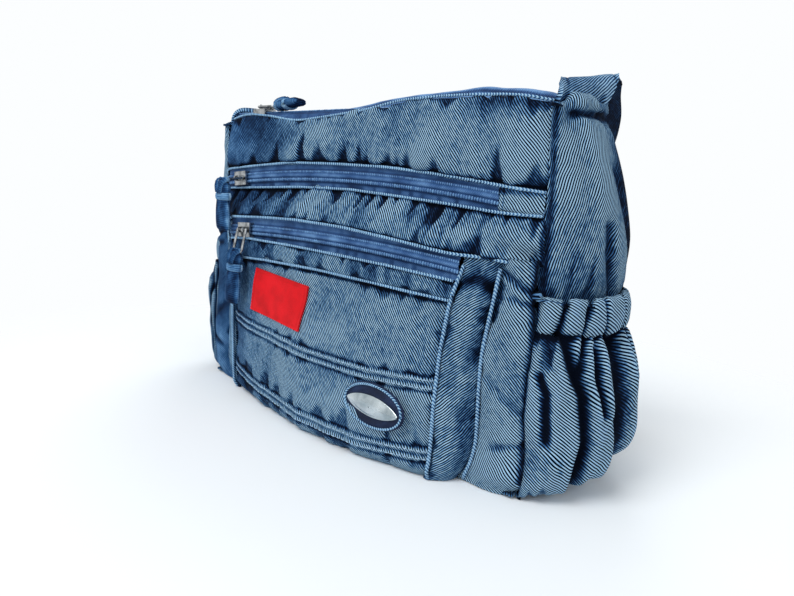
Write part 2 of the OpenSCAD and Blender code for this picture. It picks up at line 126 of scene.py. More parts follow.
def denim(name, slant, tone=0.5, ridge=1.15, worn_and_shaded=0.74, soft_left=True, pitch=TWILL_PITCH):
    """Acid-washed twill, its ridges at slant degrees, tone from 0 dark to 1 bleached."""
    finish, tree, shader = new_finish(name)
    cloth = add(tree, "ShaderNodeUVMap", {"uv_map": "cloth"})
    place = add(tree, "ShaderNodeTexCoord")
    wear_and_shade = add(tree, "ShaderNodeAttribute", {"attribute_name": "wear_and_shade"})
    turned = add(tree, "ShaderNodeMapping", None, {0: cloth.outputs[0], 2: (0, 0, math.radians(slant))})
    bend = add(tree, "ShaderNodeTexNoise", None, {0: cloth.outputs[0], "Scale": 45.0, "Detail": 2.0})
    across = add(tree, "ShaderNodeSeparateXYZ", None, {0: turned.outputs[0]})
    shift = add(tree, "ShaderNodeMath", {"operation": "MULTIPLY_ADD"},
                {0: bend.outputs[0], 1: 0.004, 2: across.outputs[0]})
    phase = add(tree, "ShaderNodeMath", {"operation": "MULTIPLY"}, {0: shift.outputs[0], 1: math.tau / pitch})
    wave = add(tree, "ShaderNodeMath", {"operation": "SINE"}, {0: phase.outputs[0]})
    # Uneven yarn: noise stretched along the ridge breaks it into lighter and darker dashes.
    yarn_place = add(tree, "ShaderNodeMapping", None, {0: turned.outputs[0], 3: (900.0, 260.0, 900.0)})
    yarn = add(tree, "ShaderNodeTexNoise", None, {0: yarn_place.outputs[0], "Scale": 1.0, "Detail": 2.0})
    ridges = add(tree, "ShaderNodeMapRange", {"interpolation_type": "SMOOTHSTEP"},
                 {0: wave.outputs[0], 1: -0.36, 2: 0.42, 3: -0.5, 4: 0.5})
    thread = add(tree, "ShaderNodeMath", {"operation": "MULTIPLY_ADD"},
                 {0: yarn.outputs[0], 1: YARN, 2: ridges.outputs[0]})
    # The left of the pack is rubbed smoother: its ridges have less contrast.
    side = add(tree, "ShaderNodeSeparateXYZ", None, {0: place.outputs["Object"]})
    left = add(tree, "ShaderNodeMapRange", {"interpolation_type": "SMOOTHSTEP"},
               {0: side.outputs[0], 1: -0.105, 2: -0.01, 3: 0.25 if soft_left else 0.8, 4: 1.0})
    patch = add(tree, "ShaderNodeTexNoise", None,
                {0: place.outputs["Object"], "Scale": 55.0, "Detail": 5.0, "Roughness": 0.62})
    speck = add(tree, "ShaderNodeTexNoise", None,
                {0: place.outputs["Object"], "Scale": 420.0, "Detail": 3.0, "Roughness": 0.7})
    ridge_part = add(tree, "ShaderNodeMath", {"operation": "MULTIPLY"}, {0: thread.outputs[0], 1: ridge})
    ridge_soft = add(tree, "ShaderNodeMath", {"operation": "MULTIPLY"},
                     {0: ridge_part.outputs[0], 1: left.outputs[0]})
    # The wear_and_shade value moves the tone: bleached places go paler, and seams, dents and folds go darker,
    # partly as wash and partly as painted shade.
    step_1 = add(tree, "ShaderNodeMath", {"operation": "MULTIPLY_ADD"},
                 {0: wear_and_shade.outputs["Fac"], 1: worn_and_shaded, 2: ridge_soft.outputs[0]})
    step_2 = add(tree, "ShaderNodeMath", {"operation": "MULTIPLY_ADD"},
                 {0: patch.outputs[0], 1: PATCHES, 2: step_1.outputs[0]})
    step_3 = add(tree, "ShaderNodeMath", {"operation": "MULTIPLY_ADD"},
                 {0: speck.outputs[0], 1: SPECKS, 2: step_2.outputs[0]})
    # It is also bleached a little further there.
    pale_left = add(tree, "ShaderNodeMath", {"operation": "MULTIPLY_ADD"},
                    {0: left.outputs[0], 1: -LEFT_BLEACH, 2: step_3.outputs[0]})
    level = tone + TONE_LIFT - 0.5 * (PATCHES + SPECKS + YARN * ridge)
    total = add(tree, "ShaderNodeMath", {"operation": "ADD"}, {0: pale_left.outputs[0], 1: level})
    ramp = add(tree, "ShaderNodeValToRGB", None, {0: total.outputs[0]})
    while len(ramp.color_ramp.elements) < len(WASH):
        ramp.color_ramp.elements.new(0.5)
    for stop, (where, code) in zip(ramp.color_ramp.elements, WASH):
        stop.position = where
        stop.color = dye(code)
    tree.links.new(ramp.outputs[0], shader.inputs["Base Color"])
    nap = add(tree, "ShaderNodeMath", {"operation": "MULTIPLY_ADD"},
              {0: speck.outputs[0], 1: 0.6, 2: ridge_soft.outputs[0]})
    bump = add(tree, "ShaderNodeBump", None, {"Strength": 0.55, "Distance": 0.0005, "Height": nap.outputs[0]})
    tree.links.new(bump.outputs[0], shader.inputs["Normal"])
    shader.inputs["Roughness"].default_value = 0.88
    shader.inputs["Specular IOR Level"].default_value = 0.05
    shader.inputs["Sheen Weight"].default_value = 0.03
    shader.inputs["Sheen Roughness"].default_value = 0.6
    shader.inputs["Sheen Tint"].default_value = dye("#a9c8e4")
    return finish


FRONT_DENIM = denim("denim_acid_washed_front", -42, tone=0.47)
FACE_DENIM = denim("denim_acid_washed_face", -42, tone=0.48)
GUSSET_DENIM = denim("denim_acid_washed_gusset", 42, tone=0.39, soft_left=False)
END_DENIM = denim("denim_acid_washed_end", 74, tone=0.46, soft_left=False)
POCKET_DENIM = denim("denim_acid_washed_pocket", -32, tone=0.49, worn_and_shaded=0.85, soft_left=False, pitch=1.2 * MM)
BELT_DENIM = denim("denim_acid_washed_belt", 34, tone=0.60, ridge=0.62, soft_left=False, pitch=1.6 * MM)
BACK_DENIM = denim("denim_acid_washed_back", -42, tone=0.54, soft_left=False)
# A folded edge is rubbed on the wash drum more than flat cloth, so it ends nearly cream.
EDGE_DENIM = denim("denim_bleached_edge", 38, tone=0.80, ridge=0.55, worn_and_shaded=0.55, soft_left=False,
                   pitch=1.25 * MM)
LOOP_DENIM = denim("denim_puller_strip", 0, tone=0.86, ridge=0.14, worn_and_shaded=0.6, soft_left=False)
WRAP_DENIM = denim("denim_puller_wrap", 90, tone=0.84, ridge=0.2, worn_and_shaded=0.3, soft_left=False)
print("denim finishes:", len([m for m in bpy.data.materials if m.name.startswith("denim")]))

# %% [markdown]
# ## Zip tape and coil, thread, metal, lining and label
# The tape is a dense polyester herringbone, dyed blue. The coil is a moulded nylon spiral, which is
# smoother, so it glints. The sliders are die-cast zinc plated with nickel: a metal keeps its default
# IOR, and its plating is a little uneven, so noise moves its roughness. The lining is a plain cotton
# twill, and the label a tight woven polyester with no lettering.


# %% The other finishes
def plain_weave(name, colours, pitch, rough, depth, tint, sheen):
    """A weave of two crossing threads, from two sine waves along the piece's own UV map."""
    finish, tree, shader = new_finish(name)
    cloth = add(tree, "ShaderNodeUVMap", {"uv_map": "cloth"})
    place = add(tree, "ShaderNodeTexCoord")
    wear_and_shade = add(tree, "ShaderNodeAttribute", {"attribute_name": "wear_and_shade"})
    axes = add(tree, "ShaderNodeSeparateXYZ", None, {0: cloth.outputs[0]})
    waves = []
    for axis in (0, 1):
        turn = add(tree, "ShaderNodeMath", {"operation": "MULTIPLY"},
                   {0: axes.outputs[axis], 1: math.tau / pitch})
        waves.append(add(tree, "ShaderNodeMath", {"operation": "SINE"}, {0: turn.outputs[0]}))
    weave = add(tree, "ShaderNodeMath", {"operation": "MULTIPLY"},
                {0: waves[0].outputs[0], 1: waves[1].outputs[0]})
    cloud = add(tree, "ShaderNodeTexNoise", None, {0: place.outputs["Object"], "Scale": 90.0, "Detail": 4.0})
    mixed = add(tree, "ShaderNodeMath", {"operation": "MULTIPLY_ADD"},
                {0: weave.outputs[0], 1: 0.18, 2: cloud.outputs[0]})
    shade = add(tree, "ShaderNodeMath", {"operation": "MULTIPLY_ADD"},
                {0: wear_and_shade.outputs["Fac"], 1: 0.5, 2: mixed.outputs[0]})
    ramp = add(tree, "ShaderNodeValToRGB", None, {0: shade.outputs[0]})
    ramp.color_ramp.elements.new(0.5)
    for stop, where, code in zip(ramp.color_ramp.elements, (0.15, 0.5, 0.85), colours):
        stop.position = where
        stop.color = dye(code)
    tree.links.new(ramp.outputs[0], shader.inputs["Base Color"])
    bump = add(tree, "ShaderNodeBump", None, {"Strength": 0.5, "Distance": depth, "Height": weave.outputs[0]})
    tree.links.new(bump.outputs[0], shader.inputs["Normal"])
    shader.inputs["Roughness"].default_value = rough
    shader.inputs["Specular IOR Level"].default_value = 0.2
    shader.inputs["Sheen Weight"].default_value = sheen
    shader.inputs["Sheen Tint"].default_value = dye(tint)
    return finish


def worn_solid(name, colours, rough, metal, scale):
    """A moulded, spun or plated solid: noise gives its patchy colour and polish."""
    finish, tree, shader = new_finish(name)
    place = add(tree, "ShaderNodeTexCoord")
    cloud = add(tree, "ShaderNodeTexNoise", None, {0: place.outputs["Object"], "Scale": scale, "Detail": 4.0})
    ramp = add(tree, "ShaderNodeValToRGB", None, {0: cloud.outputs[0]})
    for stop, where, code in zip(ramp.color_ramp.elements, (0.3, 0.7), colours):
        stop.position = where
        stop.color = dye(code)
    polish = add(tree, "ShaderNodeMapRange", None,
                 {0: cloud.outputs[0], 1: 0.3, 2: 0.7, 3: rough[0], 4: rough[1]})
    bump = add(tree, "ShaderNodeBump", None,
               {"Strength": 0.2, "Distance": 0.0002, "Height": cloud.outputs[0]})
    tree.links.new(ramp.outputs[0], shader.inputs["Base Color"])
    tree.links.new(polish.outputs[0], shader.inputs["Roughness"])
    tree.links.new(bump.outputs[0], shader.inputs["Normal"])
    shader.inputs["Metallic"].default_value = metal
    return finish


TAPE = plain_weave("polyester_zip_tape", ("#0f2a50", "#2d5488", "#6c96c4"), pitch=1.0 * MM, rough=0.75,
                   depth=0.2 * MM, tint="#9bb6dd", sheen=0.1)
LINING = plain_weave("cotton_lining_twill", ("#20304c", "#31466b", "#4a628a"), pitch=0.9 * MM, rough=0.9,
                     depth=0.2 * MM, tint="#7f98be", sheen=0.1)
LABEL = plain_weave("woven_polyester_label", ("#b00008", "#dd0816", "#ee1622"), pitch=0.7 * MM, rough=0.7,
                    depth=0.15 * MM, tint="#ff9a9a", sheen=0.02)
PATCH = plain_weave("waxed_canvas_patch", ("#040b20", "#0f1d3b", "#24375c"), pitch=0.8 * MM, rough=0.55,
                    depth=0.2 * MM, tint="#5d769f", sheen=0.1)
COIL = worn_solid("nylon_zip_coil", ("#2b5a92", "#78a8d4"), rough=(0.35, 0.5), metal=0.0, scale=500.0)
THREAD = worn_solid("cotton_topstitch_thread", ("#6f93b8", "#b4cfe4"), rough=(0.75, 0.9), metal=0.0,
                    scale=700.0)
NICKEL = worn_solid("nickel_plated_zinc", ("#5f6264", "#b9bcbe"), rough=(0.18, 0.36), metal=1.0, scale=300.0)
PLATE = worn_solid("brushed_steel_plate", ("#93a0a6", "#cfd8dc"), rough=(0.16, 0.30), metal=1.0, scale=120.0)
print("finishes in all:", len(bpy.data.materials))

# %% [markdown]
# ## Cloth from a few control points
# A sewn panel could be sculpted by hand, but a rule is easier to learn from and to change. Each panel
# starts as a coarse net of points in millimetres. A smooth spline runs through the net both ways. Then
# a relief function pushes the surface in and out and says how worn each point is and how much painted
# shade it gets. The cloth gets its thickness at the end, as a second layer inside the first, with a closed
# rim.


# %% Splines, noise and dents
def spline(points, count):
    """A smooth run through control points along the first axis, in even steps."""
    p = np.asarray(points, float)
    gaps = np.linalg.norm(np.diff(p.reshape(len(p), -1), axis=0), axis=1)
    t = np.concatenate([[0.0], np.cumsum(np.maximum(gaps, 1e-6))])
    want = np.linspace(0.0, t[-1], count)
    slope = np.gradient(p, t, axis=0)
    k = np.clip(np.searchsorted(t, want, side="right") - 1, 0, len(t) - 2)
    tall = (-1,) + (1,) * (p.ndim - 1)
    h = (t[k + 1] - t[k]).reshape(tall)
    f = ((want - t[k]) / (t[k + 1] - t[k])).reshape(tall)
    start = (2 * f**3 - 3 * f**2 + 1) * p[k] + (f**3 - 2 * f**2 + f) * h * slope[k]
    return start + (3 * f**2 - 2 * f**3) * p[k + 1] + (f**3 - f**2) * h * slope[k + 1]


FLOOR_GAP = 0.1
HILLS = np.random.default_rng(7).uniform(-1.0, 1.0, (256, 256))


def drift(a, b, seed=0):
    """Smooth random hills between -1 and 1, one for each unit of a and b."""
    a = np.asarray(a, float) + 17.31 * seed
    b = np.asarray(b, float) + 31.73 * seed
    i, j = np.floor(a).astype(int), np.floor(b).astype(int)
    f, g = a - i, b - j
    f, g = f * f * (3 - 2 * f), g * g * (3 - 2 * g)
    low = HILLS[i % 256, j % 256] * (1 - f) + HILLS[(i + 1) % 256, j % 256] * f
    high = HILLS[i % 256, (j + 1) % 256] * (1 - f) + HILLS[(i + 1) % 256, (j + 1) % 256] * f
    return low * (1 - g) + high * g


def ease(t):
    """From 0 to 1 without a corner."""
    t = np.clip(t, 0.0, 1.0)
    return t * t * (3 - 2 * t)


def flames(along, away, spacing=8.0, reach=8.0, seed=0):
    """The pointed dents that a seam pulls into cloth, 1 in a dent and 0 on flat cloth."""
    away = np.clip(away, 0.0, None)
    wave = drift(along / spacing * 1.7, away / 45.0, seed) + 0.35 * drift(along / 3.1, away / 20.0, seed + 5)
    tall = reach * (1.0 + 0.6 * drift(along / 23.0, 0.0 * away, seed + 2))
    return ease((wave - away / np.maximum(tall, 1.0)) * 1.9 + 0.42)


def mark(away, wide):
    """1 on a line and 0 away from it, with wide as its half width."""
    return np.exp(-((away / wide) ** 2))


def groove(along, away, path, wide):
    """1 on the line of a fold, given as (height, place) pairs, and 0 away from it."""
    path = sorted(path)
    line = np.interp(away, [p[0] for p in path], [p[1] for p in path])
    end = ease((away - path[0][0]) / 5.0 + 0.6) * ease((path[-1][0] - away) / 5.0 + 0.6)
    return mark(along - line, wide) * end


print("a dent row in numbers:", np.round(flames(np.arange(0, 40, 5.0), np.full(8, 1.0)), 2))


# %% Meshes from parts
def panel(net, step, relief=None, outside=(0, -1, 0), thick=1.4, way=1):
    """A sheet through a net of control points, as points, faces, UVs in metres, and wear with painted shade.
    Where the net runs down the piece, way is -1, so that the cloth's own map still runs up it."""
    net = np.asarray(net, float)
    long = np.linalg.norm(np.diff(net, axis=0), axis=2).sum(axis=0).max()
    wide = np.linalg.norm(np.diff(net, axis=1), axis=2).sum(axis=1).max()
    grid = spline(net, max(4, round(long / step)))
    grid = spline(grid.swapaxes(0, 1), max(4, round(wide / step))).swapaxes(0, 1)
    a_gap = np.linalg.norm(np.diff(grid, axis=0), axis=2).mean(axis=1)
    b_gap = np.linalg.norm(np.diff(grid, axis=1), axis=2)
    a = np.concatenate([[0.0], np.cumsum(a_gap)])[:, None] * np.ones((1, grid.shape[1]))
    b = np.concatenate([np.zeros((len(grid), 1)), np.cumsum(b_gap, axis=1)], axis=1)
    normal = np.cross(np.gradient(grid, axis=0), np.gradient(grid, axis=1))
    normal /= np.maximum(np.linalg.norm(normal, axis=2, keepdims=True), 1e-9)
    turned = (normal @ np.asarray(outside, float)).mean() < 0
    normal = -normal if turned else normal
    height, wear_and_shade = relief(a, b, grid) if relief else (0 * a, 0 * a)
    outer = grid + normal * height[..., None]
    inner = outer - normal * thick
    rows, columns = a.shape
    number = np.arange(rows * columns).reshape(rows, columns)
    quads = np.stack([number[:-1, :-1], number[1:, :-1], number[1:, 1:], number[:-1, 1:]], -1).reshape(-1, 4)
    quads = quads[:, ::-1] if turned else quads
    rim = np.concatenate([number[:, 0], number[-1, 1:], number[-2::-1, -1], number[0, -2::-1]])
    rim_next = np.roll(rim, -1)
    inside = quads[:, ::-1] + rows * columns
    edge = np.stack([rim, rim + rows * columns, rim_next + rows * columns, rim_next], -1)
    edge = edge[rim != rim_next]
    edge = edge if turned else edge[:, ::-1]
    points = np.concatenate([outer.reshape(-1, 3), inner.reshape(-1, 3)])
    cloth = np.stack([a.ravel(), way * b.ravel()], -1) * MM
    # The inner layer is painted half a step darker, as shade inside the cloth.
    worn_and_shaded = np.concatenate([wear_and_shade.ravel(), wear_and_shade.ravel() - 0.5])
    return points, np.concatenate([quads, inside, edge]).tolist(), np.concatenate([cloth, cloth]), worn_and_shaded


def roll(path, radius, step=1.6, sides=8, flat=1.0, facing=(0, -1, 0), wobble=0.10, seed=0, wear_and_shade=0.0):
    """A rolled edge, cord or thread: a closed tube along a path, with the same four results."""
    path = np.asarray(path, float)
    long = np.linalg.norm(np.diff(path, axis=0), axis=1).sum()
    line = spline(path, max(4, round(long / step)))
    ahead = np.gradient(line, axis=0)
    ahead /= np.linalg.norm(ahead, axis=1, keepdims=True)
    aside = np.cross(ahead, np.asarray(facing, float))
    aside /= np.maximum(np.linalg.norm(aside, axis=1, keepdims=True), 1e-9)
    up = np.cross(aside, ahead)
    travel = np.concatenate([[0.0], np.cumsum(np.linalg.norm(np.diff(line, axis=0), axis=1))])
    swell = radius * (1 + wobble * drift(travel / 6.0, 0 * travel, seed))
    turn = np.linspace(0, math.tau, sides, endpoint=False)
    ring = up[:, None] * np.cos(turn)[None, :, None] * flat + aside[:, None] * np.sin(turn)[None, :, None]
    points = (line[:, None] + ring * swell[:, None, None]).reshape(-1, 3)
    count = len(line)
    number = np.arange(count * sides).reshape(count, sides)
    after = np.roll(number, -1, axis=1)
    quads = np.stack([number[:-1], after[:-1], after[1:], number[1:]], -1).reshape(-1, 4)
    faces = quads.tolist() + [number[0][::-1].tolist(), number[-1].tolist()]
    cloth = np.stack([np.repeat(travel, sides), np.tile(np.abs(turn - math.pi) * radius, count)], -1) * MM
    # The tube's outer side is paler, as rubbed cloth, and its side against the cloth is darker, as painted
    # shade.
    under = np.tile(np.cos(turn), count) * 0.45 - 0.1
    return points, faces, cloth, under + wear_and_shade


def piece(name, parts, finish, body, slot, *nodes, smooth=True):
    """One object from several parts: it rides on a body and takes the place of CAD nodes."""
    points, faces, cloth, worn_and_shaded, base = [], [], [], [], 0
    for part_points, part_faces, part_cloth, part_worn in parts:
        points.append(part_points)
        cloth.append(part_cloth)
        worn_and_shaded.append(part_worn)
        faces += [[base + corner for corner in face] for face in part_faces]
        base += len(part_points)
    mesh = bpy.data.meshes.new(name)
    spots = np.concatenate(points)
    # No cloth goes below the floor that the pack stands on.
    spots[:, 2] = np.maximum(spots[:, 2], FLOOR_GAP)
    mesh.from_pydata((spots * MM).tolist(), [], faces)
    corners = np.zeros(len(mesh.loops), np.int32)
    mesh.loops.foreach_get("vertex_index", corners)
    uv = mesh.uv_layers.new(name="cloth")
    uv.data.foreach_set("uv", np.concatenate(cloth)[corners].astype(np.float32).ravel())
    value = mesh.attributes.new("wear_and_shade", "FLOAT", "POINT")
    value.data.foreach_set("value", np.concatenate(worn_and_shaded).astype(np.float32))
    mesh.polygons.foreach_set("use_smooth", np.full(len(mesh.polygons), smooth))
    mesh.materials.append(finish)
    made = bpy.data.objects.new(name, mesh)
    bpy.context.scene.collection.objects.link(made)
    if body:
        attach(made, body)
    if nodes:
        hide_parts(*nodes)
    print(f"{name}: {len(mesh.vertices)} points")
    return made


square = panel([[(0, 0, 0), (0, 0, 10)], [(10, 0, 0), (10, 0, 10)]], 1.0)
print("a 10 mm square of cloth has", len(square[0]), "points and", len(square[1]), "faces")

# %% [markdown]
# ## The lines of the pack
# Pattern makers draw seams before panels. Each list below is one seam or edge, as pairs of x and z in
# millimetres: the two seams beside each front zip, the top edge, and the outline of the box pocket. The
# panels on both sides of a seam read the same list, so they meet.

# %% Seams and outlines
TOP_EDGE = [(-121, 164), (-116, 169), (-108, 172), (-92, 173), (-75, 172), (-60, 170), (-47, 168.5),
            (-19, 170.5), (9, 173), (34, 177), (59, 178), (77, 178), (103, 177), (121, 174)]
CREST = [(-121, 173), (-96, 175), (-60, 173.5), (-30, 176), (-2, 179.5), (24, 182), (50, 183), (68, 184),
         (96, 182), (113, 178), (121, 175)]
UPPER_SEAM = [(-124, 137), (-84, 141), (-47, 144), (-9, 144.3), (31, 143.8), (58, 142), (83, 140), (101, 138),
              (122, 136)]
UPPER_SILL = [(-124, 126), (-91, 128), (-40, 131), (3, 132), (39, 130.6), (72, 129), (100, 127.2), (122, 127)]
LOWER_SEAM = [(-122, 104), (-86, 109), (-53, 111), (-25, 112), (12, 111.6), (52, 109), (77, 107), (99, 106),
              (112, 105), (122, 104)]
LOWER_SILL = [(-90, 97), (-64, 99), (-22, 99.3), (19, 98.7), (54, 98), (92, 96)]
BAND_FOOT = [(-90, 85), (-50, 87.2), (0, 88), (50, 87.2), (90, 86)]
FOOT = [(-90, -55), (-58, -64), (4, -73.5), (42, -71.5), (70, -66), (84, -62.5), (90, -61)]
FACE_EDGE = [(0, 83), (15, 85), (30, 84.5), (68, 84.5), (87, 86.5), (105, 91)]
ROOT_EDGE = [(0, 94), (4, 96), (15, 100.5), (27, 101), (46, 100), (65, 100), (84, 103), (104, 106)]
# Half widths of the front panels and of the top strip, and the heights that several pieces share.
SEAM_HALF = 121.6
TOP_HALF = 120.5
PACK_TALL = 178
POCKET_TOP = 88
KNEE = 38.0
# Places from front to back: the end panels' front seam, the main zip's middle and the back's foot.
END_FRONT = -44.0
ZIP_MIDDLE = -33.0
BACK_FOOT = 48.0


def on(line, value):
    """The height of a seam, or the place of an edge, at one value or many."""
    return np.interp(value, [p[0] for p in line], [p[1] for p in line])


def corner_x(z):
    """Half the pack's width at the front corners, a little wider at the foot."""
    return 125.0 - 3.6 * np.clip(z, 0, PACK_TALL) / PACK_TALL


def back_y(z):
    """The back stands up to its knee and then leans forward."""
    z = np.asarray(z)
    return np.where(z < KNEE, BACK_FOOT, BACK_FOOT - 46.0 * (z - KNEE) / 138.0)


def face_y(x, z):
    """The front of the box pocket: it hangs out towards its foot, most in the middle."""
    top = -60.6 + 2.4 * ease((np.abs(x) - 55) / 35.0)
    low = on(FOOT, x)
    height = np.asarray(z, float) / POCKET_TOP
    share = ease(1 - height) ** 0.75
    return top + (low - top) * share - 1.2 * np.sin(np.clip(height, 0, 1) * math.pi)


# Shares of the half width at which the wide panels have a row of points, closer at the end seams.
STATIONS = [-1.0, -0.975, -0.9, -0.75, -0.6, -0.45, -0.3, -0.15, 0.0]
STATIONS += [0.15, 0.3, 0.45, 0.6, 0.75, 0.9, 0.975, 1.0]
print("face stands", round(float(-48 - face_y(4, 5)), 1), "mm out of the front at its foot")

# %% [markdown]
# ## Front panels
# The upper panel runs from the first zip up to the top edge and rolls over it. The middle panel bridges
# the two front zips and steps out over the box pocket. Both are one cut of cloth each, with a folded,
# topstitched edge on the zip. The dents beside each seam come from the stitching, which takes up length
# that the wash then shrinks. They are vertex moves rather than a simulation, because a seam's small
# dents need a regular net of points a millimetre apart, and their place has to match the bleaching.


# %% Upper panel
def corner_pull(share):
    """How far cloth turns back at the two end seams."""
    return 5.5 * ease((np.abs(share) - 0.9) / 0.1) ** 1.3


def upper_net():
    net = []
    for share in STATIONS:
        x = share * SEAM_HALF
        low, high = on(UPPER_SEAM, x), on(TOP_EDGE, x)
        back = corner_pull(share)
        rows = [(-45.2, low - 0.2), (-46.9, low + 1.5), (-47.6, low + 7), (-46.9, (low + high) / 2)]
        rows += [(-45.4, high - 6), (-44.6, high - 2), (-42.6, high), (-40.4, high - 0.8), (-39.4, high - 5)]
        net.append([(share * corner_x(z), y + back, z) for y, z in rows])
    return net


def upper_relief(a, b, p):
    x, z = p[..., 0], p[..., 2]
    low, high = z - on(UPPER_SEAM, x), on(TOP_EDGE, x) - z
    dent = flames(x, low, spacing=10, reach=12, seed=1) * ease((low + 1.5) / 2.5)
    top_dent = flames(x, high, spacing=8, reach=7, seed=2) * (b < 45)
    swell = drift(x / 26.0, z / 15.0, 3) * 1.2 + drift(x / 6.0, z / 19.0, 4) * 0.6
    seam = mark(np.abs(x) - 121.3, 1.4)
    height = swell - 1.5 * dent - 1.1 * top_dent - 1.5 * seam
    pale = 0.30 * ease((x - 92) / 18.0) * ease((low - 2) / 8.0) * ease((high - 6) / 8.0)
    # The cloth is made darker just under the top edge, from x 76 to 114 mm.
    dark = 0.55 * ease((x - 76) / 12.0) * ease((114 - x) / 10.0) * ease(1 - high / 13.0)
    wear_and_shade = 0.16 * swell - 0.85 * dent - 0.7 * top_dent - 1.3 * seam + pale - dark
    # A dark line just above the upper seam's rolled edge is painted shadow.
    return height, wear_and_shade - 1.0 * mark(low - 1.2, 0.7)


upper = panel(upper_net(), 1.15, upper_relief, thick=1.6)
piece("front_upper_cloth", [upper], FRONT_DENIM, "bag", "washed_denim", "front_upper_panel")


# %% Middle panel
def middle_front(x):
    """How far the middle panel's lower edge stands out: over the box pocket, then back to the corner."""
    return -58.6 + 9.6 * ease((np.abs(x) - 84.0) / 22.0)


def middle_net():
    net = []
    for share in STATIONS:
        x = share * 122.4
        high, low = on(UPPER_SILL, x), on(LOWER_SEAM, x)
        back = corner_pull(share)
        front = middle_front(x)
        rows = [(-44.8, high + 0.4), (-46.8, high - 1.2), (-48.6 + (front + 49) * 0.10, high - 5)]
        rows += [(-50.4 + (front + 50) * 0.45, (low + high) / 2), (front + 0.6, low + 4.5)]
        rows += [(front - 0.3, low + 1.5), (front + 1.4, low - 0.3)]
        net.append([(share * corner_x(z), y + back, z) for y, z in rows])
    return net


def middle_relief(a, b, p):
    x, z = p[..., 0], p[..., 2]
    high, low = on(UPPER_SILL, x) - z, z - on(LOWER_SEAM, x)
    dent = flames(x, high, spacing=7, reach=12, seed=11)
    foot = flames(x, low, spacing=8, reach=9, seed=12)
    swell = drift(x / 21.0, z / 10.0, 13) * 0.9 + drift(x / 4.5, z / 16.0, 14) * 0.55
    seam = mark(np.abs(x) - 122.0, 1.4)
    streak = ease(drift(x / 4.4, z / 70.0, 15) * 1.8 - 0.25)
    height = swell - 1.3 * dent - 1.1 * foot - 1.4 * seam - 0.4 * streak
    wear_and_shade = 0.16 * swell - 0.8 * dent - 0.65 * foot - 1.3 * seam - 0.4 * streak
    wear_and_shade += 0.25 * ease((x - 96) / 12.0) * ease((high - 3) / 6.0)
    # Dark lines beside the rolled edges at both of its seams are painted shadow.
    return height, wear_and_shade - 1.1 * mark(low - 1.4, 0.7) - 0.9 * mark(high - 1.2, 0.7)


middle = panel(middle_net(), 1.15, middle_relief, thick=1.6, way=-1)
piece("front_middle_cloth", [middle], FRONT_DENIM, "bag", "washed_denim", "front_middle_panel", "pocket_top")

# %% [markdown]
# ## Lower front, gusset and face of the box pocket
# Only the two ends of the lower front show, beside the box pocket. The pocket is three pieces: a face, a
# band above it, and a gusset strip that joins the face to the pack. A strip cut on the other slant gives
# the gusset its opposite twill. The face hangs out at its foot with the weight of what is inside.


# %% Lower front
def lower_front(sign, seed):
    heights = [0.6, 3, 8, 20, 36, 52, 68, 84, 96, 104, 108]
    net = []
    for z in heights:
        tuck = 5.0 * (1 - ease(z / 9.0))
        root = on(ROOT_EDGE, z) - 6
        edge = corner_x(z) - tuck
        across = [(root, -47.8), (root + 6, -48.6), ((root + 6 + edge) / 2, -50.4 + tuck * 0.5)]
        across += [(edge - 4, -48.6 + tuck * 0.7), (edge - 0.5, -45.2 + tuck), (edge - 2.2, -41.5 + tuck)]
        net.append([(sign * x, y, z) for x, y in across])

    def relief(a, b, p):
        x, z = np.abs(p[..., 0]), p[..., 2]
        fold = mark(z - 99 + 0.5 * (x - 112), 1.8) * ease((x - 103) / 5.0)
        fold += 0.8 * mark(z - 91 + 0.25 * (x - 112), 1.6) * ease((x - 108) / 6.0)
        fold += 0.9 * mark(z - 23 - 0.3 * (x - 112), 1.7) * ease((x - 105) / 8.0)
        fold += 0.45 * mark(z - 47 + 0.7 * (x - 112), 2.6)
        inner = flames(z, x - on(ROOT_EDGE, z), spacing=12, reach=6, seed=seed)
        seam = mark(x - corner_x(z), 1.8)
        swell = drift(x / 12.0, z / 14.0, seed + 1)
        height = swell - 1.6 * fold - 1.2 * inner - 1.2 * seam
        return height, 0.12 + 0.2 * swell - 0.7 * fold - 0.75 * inner - 1.3 * seam

    return panel(net, 1.2, relief, thick=1.6)


piece("front_lower_cloth", [lower_front(1, 21), lower_front(-1, 24)], FRONT_DENIM, "bag", "washed_denim",
      "front_lower_panel")


